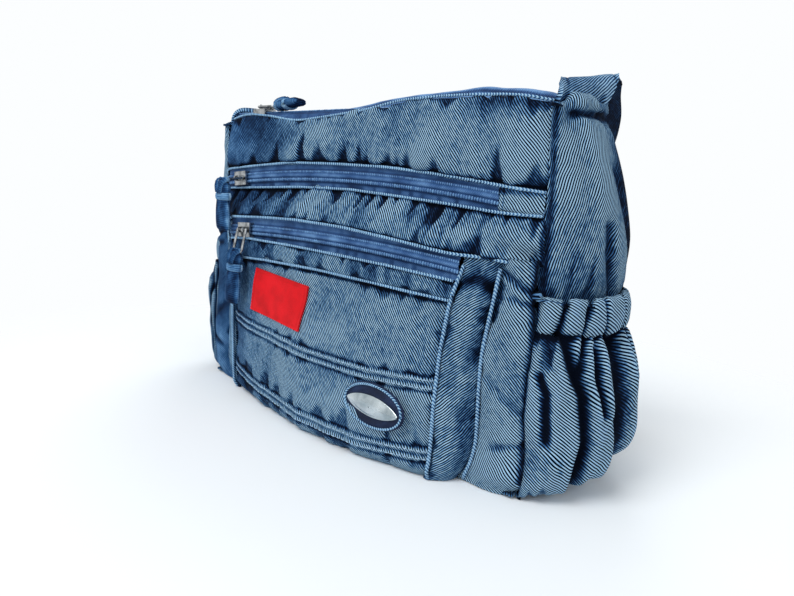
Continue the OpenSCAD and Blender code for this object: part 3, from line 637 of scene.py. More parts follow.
# %% Gusset and face
def gusset(sign, seed):
    net = []
    for z in [0.4, 3, 8, 18, 32, 46, 60, 74, 88, 98, 106]:
        inner, outer = on(FACE_EDGE, z), on(ROOT_EDGE, z)
        front = face_y(sign * inner, min(z, POCKET_TOP)) + 2.6 * ease((z - POCKET_TOP) / 18.0)
        tuck = 3.0 * (1 - ease(z / 6.0))
        across = [(inner - 0.8, front + 1.2), (inner + 1.2, front + 0.6)]
        across += [(inner * 0.6 + outer * 0.4, front + 2.6)]
        across += [(inner * 0.25 + outer * 0.75, front * 0.4 - 30.6)]
        across += [(outer - 0.6, -49.2 + tuck * 0.3), (outer, -47.6)]
        net.append([(sign * (x - tuck * 0.5), y, z) for x, y in across])

    def relief(a, b, p):
        x, z = np.abs(p[..., 0]), p[..., 2]
        share = (x - on(FACE_EDGE, z)) / (on(ROOT_EDGE, z) - on(FACE_EDGE, z))
        top = mark(z - 97 + 22 * (share - 0.5) ** 2, 3.2) * ease((z - 84) / 6.0)
        dent = flames(z, b, spacing=12, reach=5, seed=seed)
        dent = dent + flames(z, (1 - share) * 16, spacing=10, reach=6, seed=seed + 1)
        dent = np.clip(dent, 0, 1)
        swell = drift(z / 13.0, b / 8.0, seed + 2)
        shade = 0.30 * ease((share - 0.55) / 0.3) - 0.12
        height = 0.7 * swell - 1.4 * top - 0.8 * dent
        return height, 0.18 * swell - 0.8 * top - 0.55 * dent - shade

    return panel(net, 1.2, relief, outside=(sign * 0.6, -0.8, 0), thick=1.5)


piece("pocket_gusset_cloth", [gusset(1, 31), gusset(-1, 35)], GUSSET_DENIM, "bag", "washed_denim",
      "pocket_gusset")

# The two double rows of stitching across the face.
ROWS = [
    [(-90, 49), (-50, 46), (0, 43.4), (45, 43.6), (90, 47)],
    [(-90, 16), (-50, 12.4), (0, 9.6), (45, 9.4), (90, 12.5)],
]


def face_relief(a, b, p):
    x, z = p[..., 0], p[..., 2]
    top = on(BAND_FOOT, x) - z
    edge = 84.5 - np.abs(x)
    height = drift(x / 24.0, z / 18.0, 41) * 1.1 + drift(x / 6.0, z / 15.0, 42) * 0.5
    wear_and_shade = 0.12 * height + 0.05
    for index, row in enumerate(ROWS):
        away = z - on(row, x)
        twin = mark(np.abs(away) - 1.9, 0.75)
        gap = mark(away, 0.7) + mark(np.abs(away) - 3.6, 0.8)
        dent = flames(x, np.abs(away) - 3.2, spacing=8, reach=8, seed=43 + index) * (np.abs(away) > 3.0)
        height += 0.55 * twin - 0.35 * gap - 1.0 * dent
        wear_and_shade += 0.55 * twin - 0.75 * gap - 0.55 * dent
    head = flames(x, top, spacing=9, reach=6, seed=47)
    side = flames(z, edge, spacing=10, reach=7, seed=48)
    height -= 1.0 * head + 0.9 * side
    # The dark line just under the band's rolled edge is painted shadow.
    wear_and_shade -= 0.6 * head + 0.55 * side + 1.0 * mark(top - 1.5, 0.8)
    return height, wear_and_shade


face_net = []
for share in [-1, -0.93, -0.8, -0.6, -0.4, -0.2, 0, 0.2, 0.4, 0.6, 0.8, 0.93, 1]:
    column = []
    for z in [89.5, 86, 76, 64, 52, 40, 28, 18, 10, 5, 2, 0.4]:
        x = share * on(FACE_EDGE, z)
        turn = 4.0 * (1 - ease(z / 4.5))
        pull = 1.6 * ease((abs(share) - 0.9) / 0.1)
        column.append((x, face_y(x, z) + turn + pull, z))
    column.append((share * 80, column[-1][1] + 12, 0.2))
    face_net.append(column)
face = panel(face_net, 1.15, face_relief, thick=1.6, way=-1)
piece("pocket_face_cloth", [face], FACE_DENIM, "bag", "washed_denim", "pocket_face")


# %% Band above the face
def band_relief(a, b, p):
    x, z = p[..., 0], p[..., 2]
    high, low = on(LOWER_SILL, x) - z, z - on(BAND_FOOT, x)
    dent = flames(x, high, spacing=7, reach=5, seed=51)
    foot = flames(x, low, spacing=8, reach=4, seed=52)
    swell = drift(x / 16.0, z / 9.0, 53) * 0.6
    streak = ease(drift(x / 4.4, z / 70.0, 54) * 1.8 - 0.2)
    height = swell - 0.9 * dent - 0.7 * foot - 0.3 * streak
    return height, 0.2 * swell - 0.7 * dent - 0.5 * foot - 0.4 * streak


band_net = []
for share in [-1, -0.9, -0.7, -0.5, -0.25, 0, 0.25, 0.5, 0.7, 0.9, 1]:
    x = share * 88.5
    high, low = on(LOWER_SILL, x), on(BAND_FOOT, x)
    front = face_y(x, POCKET_TOP) - 0.9
    band_net.append([(x, front + 2.4, high), (x, front + 0.4, high - 1.2), (x, front - 0.5, (high + low) / 2),
                     (x, front - 0.4, low + 0.8), (x, front + 0.8, low - 0.6)])
band = panel(band_net, 1.1, band_relief, thick=1.5, way=-1)
piece("pocket_band_cloth", [band], FRONT_DENIM, "bag", "washed_denim", "pocket_band")

# %% [markdown]
# ## Rolled edges and piping
# A raw edge is folded under twice and stitched, so along each zip the cloth ends in a firm little roll.
# The wash rubs it nearly white, with the twill as slanted dashes. The gusset's two seams hold a piping of
# the same cloth. Each one is a tube along its seam, paler on its outer side from rubbing and darker on its
# side against the cloth as painted shade. The dark line under it is painted shadow in the panel's colour.


# %% Edges
def seam_path(line, start, end, depth, lift=0.0, count=24):
    """Points along a seam, standing at the depth that a function gives for each x."""
    return [(x, depth(x), on(line, x) + lift) for x in np.linspace(start, end, count)]


def piping(sign, edge, inner):
    path = []
    for z in [0.8, 4, 10, 20, 34, 48, 62, 76, 88, 97, 103]:
        x = on(edge, z) + (0.6 if inner else 0.2)
        y = -49.9
        if inner:
            y = face_y(sign * x, min(z, POCKET_TOP)) - 0.5 + 2.6 * ease((z - POCKET_TOP) / 18)
        path.append((sign * x, y + 2.5 * (1 - ease(z / 5)), z))
    return path


def corner_line(base):
    """Front edges turn back at the end seams."""
    return lambda x: base + corner_pull(x / SEAM_HALF)


edges = [
    roll(seam_path(UPPER_SEAM, -119.5, 119.8, corner_line(-46.9), 0.3), 0.72, flat=0.8, seed=1),
    roll(seam_path(TOP_EDGE, -112, 118, corner_line(-43.6), -0.2), 0.66, flat=0.8, seed=9),
    roll(seam_path(UPPER_SILL, -119.5, 119.8, corner_line(-46.9), -0.4), 0.72, flat=0.8, seed=2),
    roll(seam_path(LOWER_SEAM, -118, 118, lambda x: middle_front(x) - 0.9 + corner_pull(x / 122), 0.9),
         0.78, flat=0.8, seed=3),
    roll(seam_path(LOWER_SILL, -88, 88, lambda x: face_y(x, POCKET_TOP) - 1.2, -0.6), 0.72, flat=0.8, seed=4),
    roll(seam_path(BAND_FOOT, -87, 87, lambda x: face_y(x, POCKET_TOP) - 1.7, 0.4), 0.7, flat=0.8, seed=5),
]
piece("folded_edges", edges, EDGE_DENIM, "bag", "pale_denim")
pipe_seams = [(1, FACE_EDGE, True), (1, ROOT_EDGE, False), (-1, FACE_EDGE, True), (-1, ROOT_EDGE, False)]
pipes = [roll(piping(*seam), 0.92, seed=7 + index) for index, seam in enumerate(pipe_seams)]
piece("pocket_piping_cord", pipes, EDGE_DENIM, "bag", "pale_denim", "pocket_piping")

# %% [markdown]
# ## Zips
# A coil zip has two tapes, each with a nylon spiral sewn along its inner edge. Closed, the two spirals
# make a row of small bumps on each side of a smooth ridge. The tape is one swept strip for each zip. The
# bumps are Geometry Nodes: one rounded grain, repeated along a line at a set spacing.


# %% A tree that repeats one grain along lines
def grain_tree():
    tree = bpy.data.node_groups.new("grains_along_a_line", "GeometryNodeTree")
    for title, kind in [("Line", "Geometry"), ("Spacing", "Float"), ("Size", "Vector"), ("Facing", "Vector"),
                        ("Finish", "Material")]:
        tree.interface.new_socket(name=title, in_out="INPUT", socket_type="NodeSocket" + kind)
    tree.interface.new_socket(name="Grains", in_out="OUTPUT", socket_type="NodeSocketGeometry")
    given = add(tree, "NodeGroupInput")
    curve = add(tree, "GeometryNodeMeshToCurve", None, {0: given.outputs["Line"]})
    dots = add(tree, "GeometryNodeCurveToPoints", {"mode": "LENGTH"},
               {"Curve": curve.outputs[0], "Length": given.outputs["Spacing"]})
    grain = add(tree, "GeometryNodeMeshUVSphere", None, {"Segments": 8, "Rings": 5, "Radius": 0.5})
    sized = add(tree, "GeometryNodeTransform", None,
                {"Geometry": grain.outputs[0], "Scale": given.outputs["Size"]})
    ahead = add(tree, "FunctionNodeAlignRotationToVector", {"axis": "Z"}, {"Vector": dots.outputs["Tangent"]})
    outward = add(tree, "FunctionNodeAlignRotationToVector", {"axis": "Y", "pivot_axis": "Z"},
                  {"Rotation": ahead.outputs[0], "Vector": given.outputs["Facing"]})
    vary = add(tree, "FunctionNodeRandomValue", {"data_type": "FLOAT"}, {2: 0.88, 3: 1.08, "Seed": 4})
    placed = add(tree, "GeometryNodeInstanceOnPoints", None,
                 {"Points": dots.outputs[0], "Instance": sized.outputs[0], "Rotation": outward.outputs[0],
                  "Scale": vary.outputs[1]})
    real = add(tree, "GeometryNodeRealizeInstances", None, {0: placed.outputs[0]})
    coated = add(tree, "GeometryNodeSetMaterial", None,
                 {"Geometry": real.outputs[0], "Material": given.outputs["Finish"]})
    add(tree, "NodeGroupOutput", None, {0: coated.outputs[0]})
    return tree


GRAINS = grain_tree()
print("inputs of a row of grains:", [s.name for s in GRAINS.interface.items_tree if s.in_out == "INPUT"])


def grains(name, lines, finish, body, slot, *nodes, spacing, size, facing=(0, -1, 0)):
    """Grains along every line, made into one plain mesh. Size is across, out, and along, in mm."""
    mesh = bpy.data.meshes.new(name + "_lines")
    points, joins = [], []
    for line in lines:
        joins += [(k, k + 1) for k in range(len(points), len(points) + len(line) - 1)]
        points += [[c * MM for c in p] for p in line]
    mesh.from_pydata(points, joins, [])
    carrier = bpy.data.objects.new(name + "_lines", mesh)
    bpy.context.scene.collection.objects.link(carrier)
    step = carrier.modifiers.new("grains", "NODES")
    step.node_group = GRAINS
    values = {"Spacing": spacing * MM, "Size": [s * MM for s in size]}
    values |= {"Facing": list(facing), "Finish": finish}
    for socket in GRAINS.interface.items_tree:
        if socket.in_out == "INPUT" and socket.name in values:
            step[socket.identifier] = values[socket.name]
    bpy.context.view_layer.update()
    ready = carrier.evaluated_get(bpy.context.evaluated_depsgraph_get())
    made_mesh = bpy.data.meshes.new_from_object(ready)
    bpy.data.objects.remove(carrier)
    made_mesh.name = name
    made_mesh.polygons.foreach_set("use_smooth", np.full(len(made_mesh.polygons), True))
    made = bpy.data.objects.new(name, made_mesh)
    bpy.context.scene.collection.objects.link(made)
    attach(made, body)
    if nodes:
        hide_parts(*nodes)
    print(f"{name}: {len(made_mesh.polygons)} faces in grains")


# %% Front zips
def arc(radius, crown):
    """The height of a zip's middle line at x, on a wide arc."""
    return lambda x: crown - radius + math.sqrt(radius * radius - x * x)


UPPER_ARC = arc(950.0, 138.0)
LOWER_ARC = arc(1300.0, 105.0)
# Height above the middle line, and how far that part of the tape stands out.
TAPE_SECTION = [(7.6, 0.0), (5.6, 0.1), (4.0, 0.0), (3.3, 0.2), (2.9, 0.8), (1.7, 0.9), (1.2, 0.7),
                (0.7, 1.2), (-0.2, 1.25), (-0.8, 0.7), (-1.2, 0.8), (-3.0, 0.9), (-3.4, 0.1), (-4.2, -0.1),
                (-5.8, 0.0), (-7.6, 0.0)]


def tape_relief(line, seed):
    def relief(a, b, p):
        x, z = p[..., 0], p[..., 2]
        off = z - np.vectorize(line)(x)
        crease = ease((drift(x / 3.6, off / 30.0, seed) - 0.1) * 2) * ease((-off - 3.4) / 2.0)
        # Dark lines at the foot of the zip's raised middle and between its parts are painted shade, and the
        # paler line along its ridge is a painted highlight.
        dark = mark(off + 3.5, 0.5) + mark(off - 3.3, 0.4) + mark(off + 1.0, 0.3)
        return -0.35 * crease, -0.5 * crease - 0.75 * dark + 0.25 * mark(off - 0.2, 0.5)

    return relief


def front_zip(name, line, head, sill, half, front, seed):
    """A tape between its two seams, head above and sill below, with the two rows of its coil."""
    net = []
    for x in np.linspace(-half, half, 25):
        low, high = on(sill, x) - 0.6, on(head, x) + 0.4
        back = corner_pull(x / SEAM_HALF)
        net.append([(x, front - out + back, min(max(line(x) + up, low), high)) for up, out in TAPE_SECTION])
    tape = panel(net, 0.55, tape_relief(line, seed), thick=0.6)
    piece(name + "_tape_cloth", [tape], TAPE, "bag", "zip_coil", name + "_tape")
    along = [(x, corner_pull(x / SEAM_HALF)) for x in np.linspace(-half, half, 60)]
    low = [(x, front - 1.15 + back, line(x) - 2.1) for x, back in along]
    high = [(x, front - 1.0 + back, line(x) + 2.3) for x, back in along]
    grains(name + "_coil_low", [low], COIL, "bag", "zip_coil", name + "_chain", spacing=1.55,
           size=(1.9, 1.0, 1.0))
    grains(name + "_coil_high", [high], COIL, "bag", "zip_coil", spacing=1.3, size=(1.2, 0.6, 0.7))


front_zip("upper_zip", UPPER_ARC, UPPER_SEAM, UPPER_SILL, half=119.6, front=-45.6, seed=61)
front_zip("lower_zip", LOWER_ARC, LOWER_SEAM, LOWER_SILL, half=89.6, front=-57.6, seed=63)


# %% [markdown]
# ## The main zip and the top
# The main zip lies flat on the top of the pack. Behind it the top strip is full of what the pack holds,
# so it humps up above the zip and gives the pack its crest.


# %% Main zip and top strip
def main_relief(a, b, p):
    off = p[..., 1] - ZIP_MIDDLE
    crease = ease((drift(p[..., 0] / 3.4, off / 20.0, 65) - 0.1) * 2) * ease((np.abs(off) - 3.4) / 1.5)
    # Dark lines beside the coil are painted shade.
    dark = mark(np.abs(off) - 3.2, 0.45)
    return -0.3 * crease, -0.5 * crease - 0.7 * dark


main_net = []
for x in np.linspace(-119, 119, 25):
    rim = max(on(TOP_EDGE, x) - 5.0, 166.0)
    section = [(-40.4, min(rim, 171.0)), (-38.4, min(rim + 2.6, 172.6)), (-36.6, 173.1), (-36.0, 173.6)]
    section += [(-34.9, 174.4), (ZIP_MIDDLE, 174.9), (-31.1, 174.4), (-30, 173.6), (-29.4, 173.1)]
    section += [(-27.4, 172.8), (-25.2, 172.2)]
    main_net.append([(x, y, z) for y, z in section])
main_tape = panel(main_net, 0.7, main_relief, outside=(0, 0, 1), thick=0.6)
piece("main_zip_tape_cloth", [main_tape], TAPE, "bag", "zip_coil", "main_zip_tape")
coil_rows = [[(x, ZIP_MIDDLE + side, 174.75) for x in np.linspace(-117, 117, 60)] for side in (-2.1, 2.1)]
grains("main_zip_coil", coil_rows, COIL, "bag", "zip_coil", "main_zip_chain", spacing=1.5,
       size=(1.8, 1.0, 1.0), facing=(0, 0, 1))


def top_relief(a, b, p):
    x, y = p[..., 0], p[..., 1]
    near = flames(x, y + 25.0, spacing=8, reach=8, seed=71)
    rear = flames(x, 2.0 - y, spacing=9, reach=8, seed=72)
    swell = drift(x / 22.0, y / 12.0, 73)
    height = 1.1 * swell - 1.0 * near - 1.0 * rear
    return height, 0.15 * swell - 0.7 * near - 0.6 * rear


def end_drop(share):
    """How far the top strip sinks at its two ends."""
    return 3.0 * ease((abs(share) - 0.92) / 0.08)


top_net = []
for share in STATIONS:
    x = share * TOP_HALF
    crest = on(CREST, x)
    drop = end_drop(share)
    section = [(-26.4, 171.6), (-25.6, 174.0), (-22.5, crest - 1.2), (-18, crest), (-10, crest - 1.0)]
    section += [(-3, (crest + 176) / 2), (1.2, 175.6), (2.4, 171.5)]
    top_net.append([(x, y, z - drop) for y, z in section])
top_strip = panel(top_net, 1.3, top_relief, outside=(0, 0, 1), thick=1.6)
piece("top_strip_cloth", [top_strip], BACK_DENIM, "bag", "washed_denim", "top_strip")

# The rear half of the zip's tape stands up against the top strip.
rear_net = []
for x in np.linspace(-117.5, 117.5, 25):
    crest = on(CREST, x) - end_drop(x / TOP_HALF)
    section = [(-26.4, 173.0), (-26.2, (crest + 173) / 2), (-24.4, crest - 0.9)]
    section += [(-22.0, crest + 0.5), (-19.6, crest + 0.5), (-18.6, crest - 0.6)]
    rear_net.append([(x, y, z) for y, z in section])


def rear_relief(a, b, p):
    x, z = p[..., 0], p[..., 2]
    high = on(CREST, x) - z
    line = mark(high - 1.5, 0.8)
    ribs = 0.5 + 0.5 * np.sin(x * math.tau / 1.6)
    height = 0.25 * drift(x / 9.0, z / 5.0, 74) - 0.3 * line
    # The whole rear tape is lifted half a step paler as a painted highlight along the crest.
    return height, 0.5 - 1.5 * line * (0.6 + 0.4 * ribs) - 0.15 * ribs


piece("main_zip_rear_tape", [panel(rear_net, 0.7, rear_relief, thick=0.6, way=-1)], TAPE, "bag", "zip_coil")
top_line = [(x, -25.6, 174.2 - end_drop(x / TOP_HALF)) for x in np.linspace(-119, 119, 24)]
top_roll = roll(top_line, 0.95, flat=0.8, facing=(0, 0, 1), seed=12)
piece("top_zip_edge", [top_roll], EDGE_DENIM, "bag", "pale_denim")

# %% [markdown]
# ## Back and bottom
# The back lies against the wearer: a plain panel, worn soft, with wide shallow wrinkles. The bottom is
# flat on the floor and only buckles a little at its seams.


# %% Back panel
def back_relief(a, b, p):
    x, z = p[..., 0], p[..., 2]
    high = flames(x, 174 - z, spacing=9, reach=10, seed=81)
    low = flames(x, z - 3, spacing=9, reach=10, seed=82)
    knee = flames(x, np.abs(z - KNEE), spacing=14, reach=7, seed=83)
    swell = drift(x / 34.0, z / 16.0, 84) * 1.2 + drift(x / 13.0, z / 19.0, 85) * 0.6
    seam = mark(np.abs(x) - 121.0, 2.2)
    height = swell - 1.3 * high - 1.2 * low - 0.7 * knee - 1.2 * seam
    return height, 0.15 * swell - 0.7 * high - 0.7 * low - 0.4 * knee - 1.2 * seam


back_net = []
for share in STATIONS:
    column = []
    for z in [173, 168, 155, 140, 122, 104, 86, 68, 52, 40, 30, 18, 8, 3, 0.6]:
        turn = corner_pull(share) + (6.0 * (1 - ease(z / 7.0)))
        column.append((share * corner_x(z) * 0.995, back_y(z) - turn, z))
    back_net.append(column)
back = panel(back_net, 1.6, back_relief, outside=(0, 1, 0), thick=1.6, way=-1)
piece("back_cloth", [back], BACK_DENIM, "bag", "washed_denim", "back_panel")

bottom_net = []
for x in np.linspace(-121, 121, 13):
    rim = 1.2 if abs(x) > 115 else 0.6
    bottom_net.append([(x, y, rim if abs(y) > 40 else 0.4) for y in (-47, -42, -20, 0, 20, 38, 44)])


def bottom_relief(a, b, p):
    swell = np.abs(drift(p[..., 0] / 20.0, p[..., 1] / 20.0, 91))
    return -0.5 * swell, 0.1 - 0.5 * swell


bottom = panel(bottom_net, 2.0, bottom_relief, outside=(0, 0, -1), thick=1.4)
piece("bottom_cloth", [bottom], BACK_DENIM, "bag", "washed_denim", "bottom_panel")

# %% [markdown]
# ## End panels
# Each end is one panel, pushed out by the contents, with the belt sewn into its top seam. A crease under
# that seam and a deep pleat above the gathered pocket are where the cloth folds as the pack is filled.


# %% End panels
def end_net(sign):
    swells = [(60, 12.0), (92, 14.5), (104, 16.5), (118, 18), (132, 17), (146, 14.5), (158, 11), (166, 8)]
    swells += [(170, 4.6), (173, 6.0), (176.5, 4.4), (178.2, 1.0), (177.0, -4.0)]
    net = []
    for z, out in swells:
        edge, rear = corner_x(z), back_y(min(z, 176))
        span = rear - END_FRONT
        around = [(edge - 2.6, -42.4), (edge - 0.2, -43.4), (edge + 0.45 * out, -41 + 0.06 * span)]
        around += [(edge + 0.85 * out, END_FRONT + 0.28 * span), (edge + out, END_FRONT + 0.54 * span)]
        around += [(edge + 0.86 * out, END_FRONT + 0.77 * span), (edge + 0.35 * out, rear - 5.0)]
        around += [(edge - 0.6, rear - 1.6), (edge - 3.4, rear - 1.2)]
        sink = (5.5 if sign > 0 else 11.0) * ease((z - 150) / 24.0)
        net.append([(sign * x, y, z - sink * (1 - ease((y - END_FRONT) / 16.0))) for x, y in around])
    return net


def end_relief(seed, seam_dark):
    def relief(a, b, p):
        y, z = p[..., 1], p[..., 2]
        rear = back_y(z)
        share = (y - END_FRONT) / (rear - END_FRONT)
        pleat = groove(share, z, [(92, 0.52), (112, 0.42), (126, 0.40)], 0.045)
        tuck = groove(share, z, [(92, 0.80), (120, 0.66), (150, 0.60)], 0.06)
        lip = mark(z - 170.0 - 2.5 * (share - 0.4), 1.5) * ease((share - 0.03) / 0.2)
        fan = drift(share * 9.0 + (z - 90) / 70.0, z / 34.0, seed)
        low = flames(y, z - 92.0, spacing=9, reach=14, seed=seed + 1)
        seam = mark(share, 0.022) + mark(share - 1.0, 0.05)
        corner = 1.0 - mark(share, 0.10) * ease((z - 146) / 8.0)
        # The rear part of each end is darkened as painted shade, less at the foot and at the top.
        dark_rear = 1.15 * ease((share - 0.56) / 0.26) * ease((166 - z) / 22.0 + 0.25)
        dark_rear = dark_rear * (0.4 + 0.6 * ease((z - 88) / 14.0))
        pale_front = 0.3 * ease((z - 110) / 40.0) * ease((166 - z) / 8.0) * ease((0.5 - share) / 0.3 + 0.4)
        height = corner * (1.3 * fan - 2.8 * pleat - 2.0 * tuck - 2.0 * lip - 1.2 * low - 1.0 * seam)
        wear_and_shade = 0.22 * fan - 0.8 * pleat - 0.5 * tuck - 1.0 * lip - 0.6 * low - seam_dark * seam - dark_rear
        return height, wear_and_shade + pale_front

    return relief


for side, sign, seed, seam_dark in (("right", 1, 101, 1.1), ("left", -1, 105, -0.3)):
    part = panel(end_net(sign), 1.3, end_relief(seed, seam_dark), outside=(sign, 0, 0), thick=1.6)
    piece(f"{side}_end_cloth", [part], END_DENIM, "bag", "washed_denim", f"{side}_end_panel")

# %% [markdown]
# ## Gathered end pockets
# An elastic in the casing draws each pocket's mouth in, so a wide piece of cloth has to fold: sharp, close
# folds in the casing, and longer ones that fan out below it and die away at the foot. The places of the
# deep folds are listed as lines up the pocket. They are pressed in as grooves in a fine net, which keeps
# them crisp, and their bottoms are darkened with painted shade.

# %% Pocket and casing
POCKET_ROUND = [(121.5, -44.5), (127, -45.5), (137, -43.5), (146.5, -34), (152, -19), (152.5, -4), (147.5, 9),
                (138, 21), (129, 31), (122.5, 38), (119, 38)]
CASING_ROUND = [(121, -43.0), (124, -44.5), (131, -41.5), (138.5, -32), (143, -17), (143, -4), (138.5, 8),
                (131, 18), (124.5, 26), (121, 29), (118, 28)]
# Each fold is its line, as height and place round the pocket, then its half width and its depth.
DEEP_FOLDS = [
    ([(6, 28), (31, 30), (52, 27), (64, 20), (78, 15)], 2.7, 4.2),
    ([(43, 38), (58, 33), (72, 31)], 2.2, 3.2),
    ([(10, 58), (31, 54), (54, 49), (78, 46)], 6.6, 5.0),
    ([(18, 80), (50, 76), (78, 66)], 4.0, 3.4),
    ([(62, 24), (78, 25)], 1.8, 3.0),
    ([(30, 12), (52, 10), (60, 6)], 2.4, 1.3),
    ([(55, 64), (78, 57)], 1.8, 2.4),
]
LEFT_FOLDS = DEEP_FOLDS + [
    ([(6, 11), (26, 8), (46, 10), (62, 7), (78, 8)], 1.5, 2.6),
    ([(20, 4), (40, 5), (78, 2)], 1.1, 1.8),
]
# Place round the casing, half width and depth.
CASING_FOLDS = [(13, 1.5, 3.0), (25, 1.3, 2.6), (36, 0.9, 2.2), (52, 2.2, 3.4), (63, 1.3, 2.4)]
CASING_FOLDS += [(74, 1.6, 3.0), (85, 1.3, 2.4)]
# Height, and how full the pocket or how far out the casing is there.
POCKET_FULL = [(1.2, 0.12), (3, 0.40), (8, 0.68), (16, 0.86), (28, 0.98), (42, 1.0), (56, 0.97), (66, 0.86)]
POCKET_FULL += [(73, 0.72), (77.5, 0.62)]
CASING_OUT = [(74.5, -2.6), (76.5, -0.2), (80, 1.4), (85, 1.9), (90, 1.4), (92.8, 0.2), (93.4, -1.6)]
CASING_OUT += [(91.5, -3.2)]


def pocket_net(sign):
    net = []
    for z, full in POCKET_FULL:
        row = []
        rear = back_y(z)
        for x, y in POCKET_ROUND:
            y_here = y if y < 0 else y * (rear - 3.0) / 41.0
            lift = 9.0 * ease((y + 30) / 60.0) * (1 - ease(z / 40.0))
            row.append((sign * (121.5 + (x - 121.5) * full), y_here, z + lift))
        net.append(row)
    return net


def pocket_relief(seed, stretch, folds):
    def relief(a, b, p):
        z = p[..., 2]
        along = b * stretch
        height = 1.2 * drift(along / 14.0, z / 22.0, seed) + 0.8 * drift(along / 5.0, z / 16.0, seed + 1)
        wear_and_shade = 0.22 * height + 0.1
        for path, wide, deep in folds:
            fold = groove(along, z, path, wide)
            lip = groove(along + 1.9 * wide, z, path, wide) + groove(along - 1.9 * wide, z, path, wide)
            height += 0.35 * deep * lip - deep * fold
            # The bottom of each fold is darkened as painted shade.
            wear_and_shade += 0.25 * lip - 1.5 * fold
        mouth = flames(along, 76.0 - z, spacing=6, reach=16, seed=seed + 2)
        seam = mark(along, 1.6)
        foot = flames(along, z - 3.0, spacing=9, reach=9, seed=seed + 3)
        height -= 2.2 * mouth + 1.0 * seam + 1.2 * foot
        return height, wear_and_shade - 0.9 * mouth - 1.2 * seam - 0.5 * foot - 1.2 * mark(z - 77, 1.6)

    return relief


def casing_net(sign):
    net = []
    for z, out in CASING_OUT:
        row = []
        for x, y in CASING_ROUND:
            rise = 1.5 * ease((y + 20) / 40.0)
            row.append((sign * (x + out * min(1.0, (x - 118) / 8.0)), y, z + rise))
        net.append(row)
    return net


def casing_relief(seed, stretch):
    def relief(a, b, p):
        z = p[..., 2]
        along = b * stretch
        height = 0.9 * drift(along / 6.0, z / 14.0, seed)
        wear_and_shade = 0.38 + 0.2 * height
        for place, wide, deep in CASING_FOLDS:
            slant = 0.18 * (z - 84.0) * (1 if int(place) % 2 else -1)
            open_up = wide * (1.0 + 0.5 * drift(z / 6.0, 0 * z + place, seed + 1))
            fold = mark(along - place - slant, open_up)
            height -= deep * fold
            # The bottom of each fold is darkened as painted shade.
            wear_and_shade -= 1.5 * fold
        # Below a ragged line the casing's lower edge is dented and darkened as painted shade.
        zigzag = 77.2 + 1.6 * drift(along / 5.0, 0 * z, seed + 2)
        crack = ease((zigzag - z) / 1.2)
        return height - 1.0 * crack, wear_and_shade - 1.3 * crack - 1.2 * mark(along, 1.4)

    return relief


SIDES = [("right", 1, 111, 1.0, DEEP_FOLDS), ("left", -1, 121, 0.94, LEFT_FOLDS)]
for side, sign, seed, stretch, folds in SIDES:
    relief = pocket_relief(seed, stretch, folds)
    pocket = panel(pocket_net(sign), 1.0, relief, outside=(sign, 0, 0), thick=1.5)
    piece(f"{side}_pocket_cloth", [pocket], POCKET_DENIM, "bag", "washed_denim", f"{side}_end_pocket")
    casing = panel(casing_net(sign), 0.9, casing_relief(seed + 5, stretch), outside=(sign, 0, 0), thick=1.4)
    piece(f"{side}_casing_cloth", [casing], POCKET_DENIM, "bag", "washed_denim", f"{side}_casing")

# %% [markdown]
# ## The belt
# The belt is one band of doubled denim. It comes up out of each end's top seam, folds over towards the
# back, hangs down behind the pack and crosses the floor. It is one fixed mesh and rides on no body.

# %% Belt band
RISE = [
    ((118.0, -40.0, 166.0), (118.5, -4.0, 167.0)),
    ((120.8, -40.0, 175.0), (122.5, -2.0, 177.0)),
    ((120.0, -37.5, 181.0), (123.5, 4.0, 186.0)),
    ((116.5, -34.0, 184.5), (120.0, 12.0, 192.5)),
    ((113.0, -24.0, 185.0), (115.5, 21.0, 193.0)),
    ((111.4, -10.0, 183.0), (113.0, 27.0, 186.0)),
    ((111.6, 5.0, 177.5), (112.0, 32.0, 174.0)),
    ((112.5, 12.0, 165.0), (107.0, 35.0, 159.0)),
]
# Behind the pack the band turns flat against the back, and at the floor it turns again to lie down.
LEG = [((113.5, 19.5, 145.0), (82.0, 35.0, 141.0)), ((114.0, 28.0, 117.0), (77.0, 33.0, 115.0)),
       ((114.0, 38.0, 86.0), (76.5, 43.0, 85.0)), ((113.0, 47.0, 58.0), (79.0, 57.0, 58.0))]
TURN = [((112.0, 53.0, 34.0), (90.0, 78.0, 36.0)), ((110.8, 54.0, 18.0), (101.0, 88.0, 20.0)),
        ((109.6, 54.0, 7.0), (107.0, 91.0, 8.0)), ((105.5, 54.0, 3.4), (104.5, 92.0, 3.4)),
        ((96.0, 54.0, 2.9), (96.0, 92.0, 2.9))]
right_half = RISE + LEG + TURN
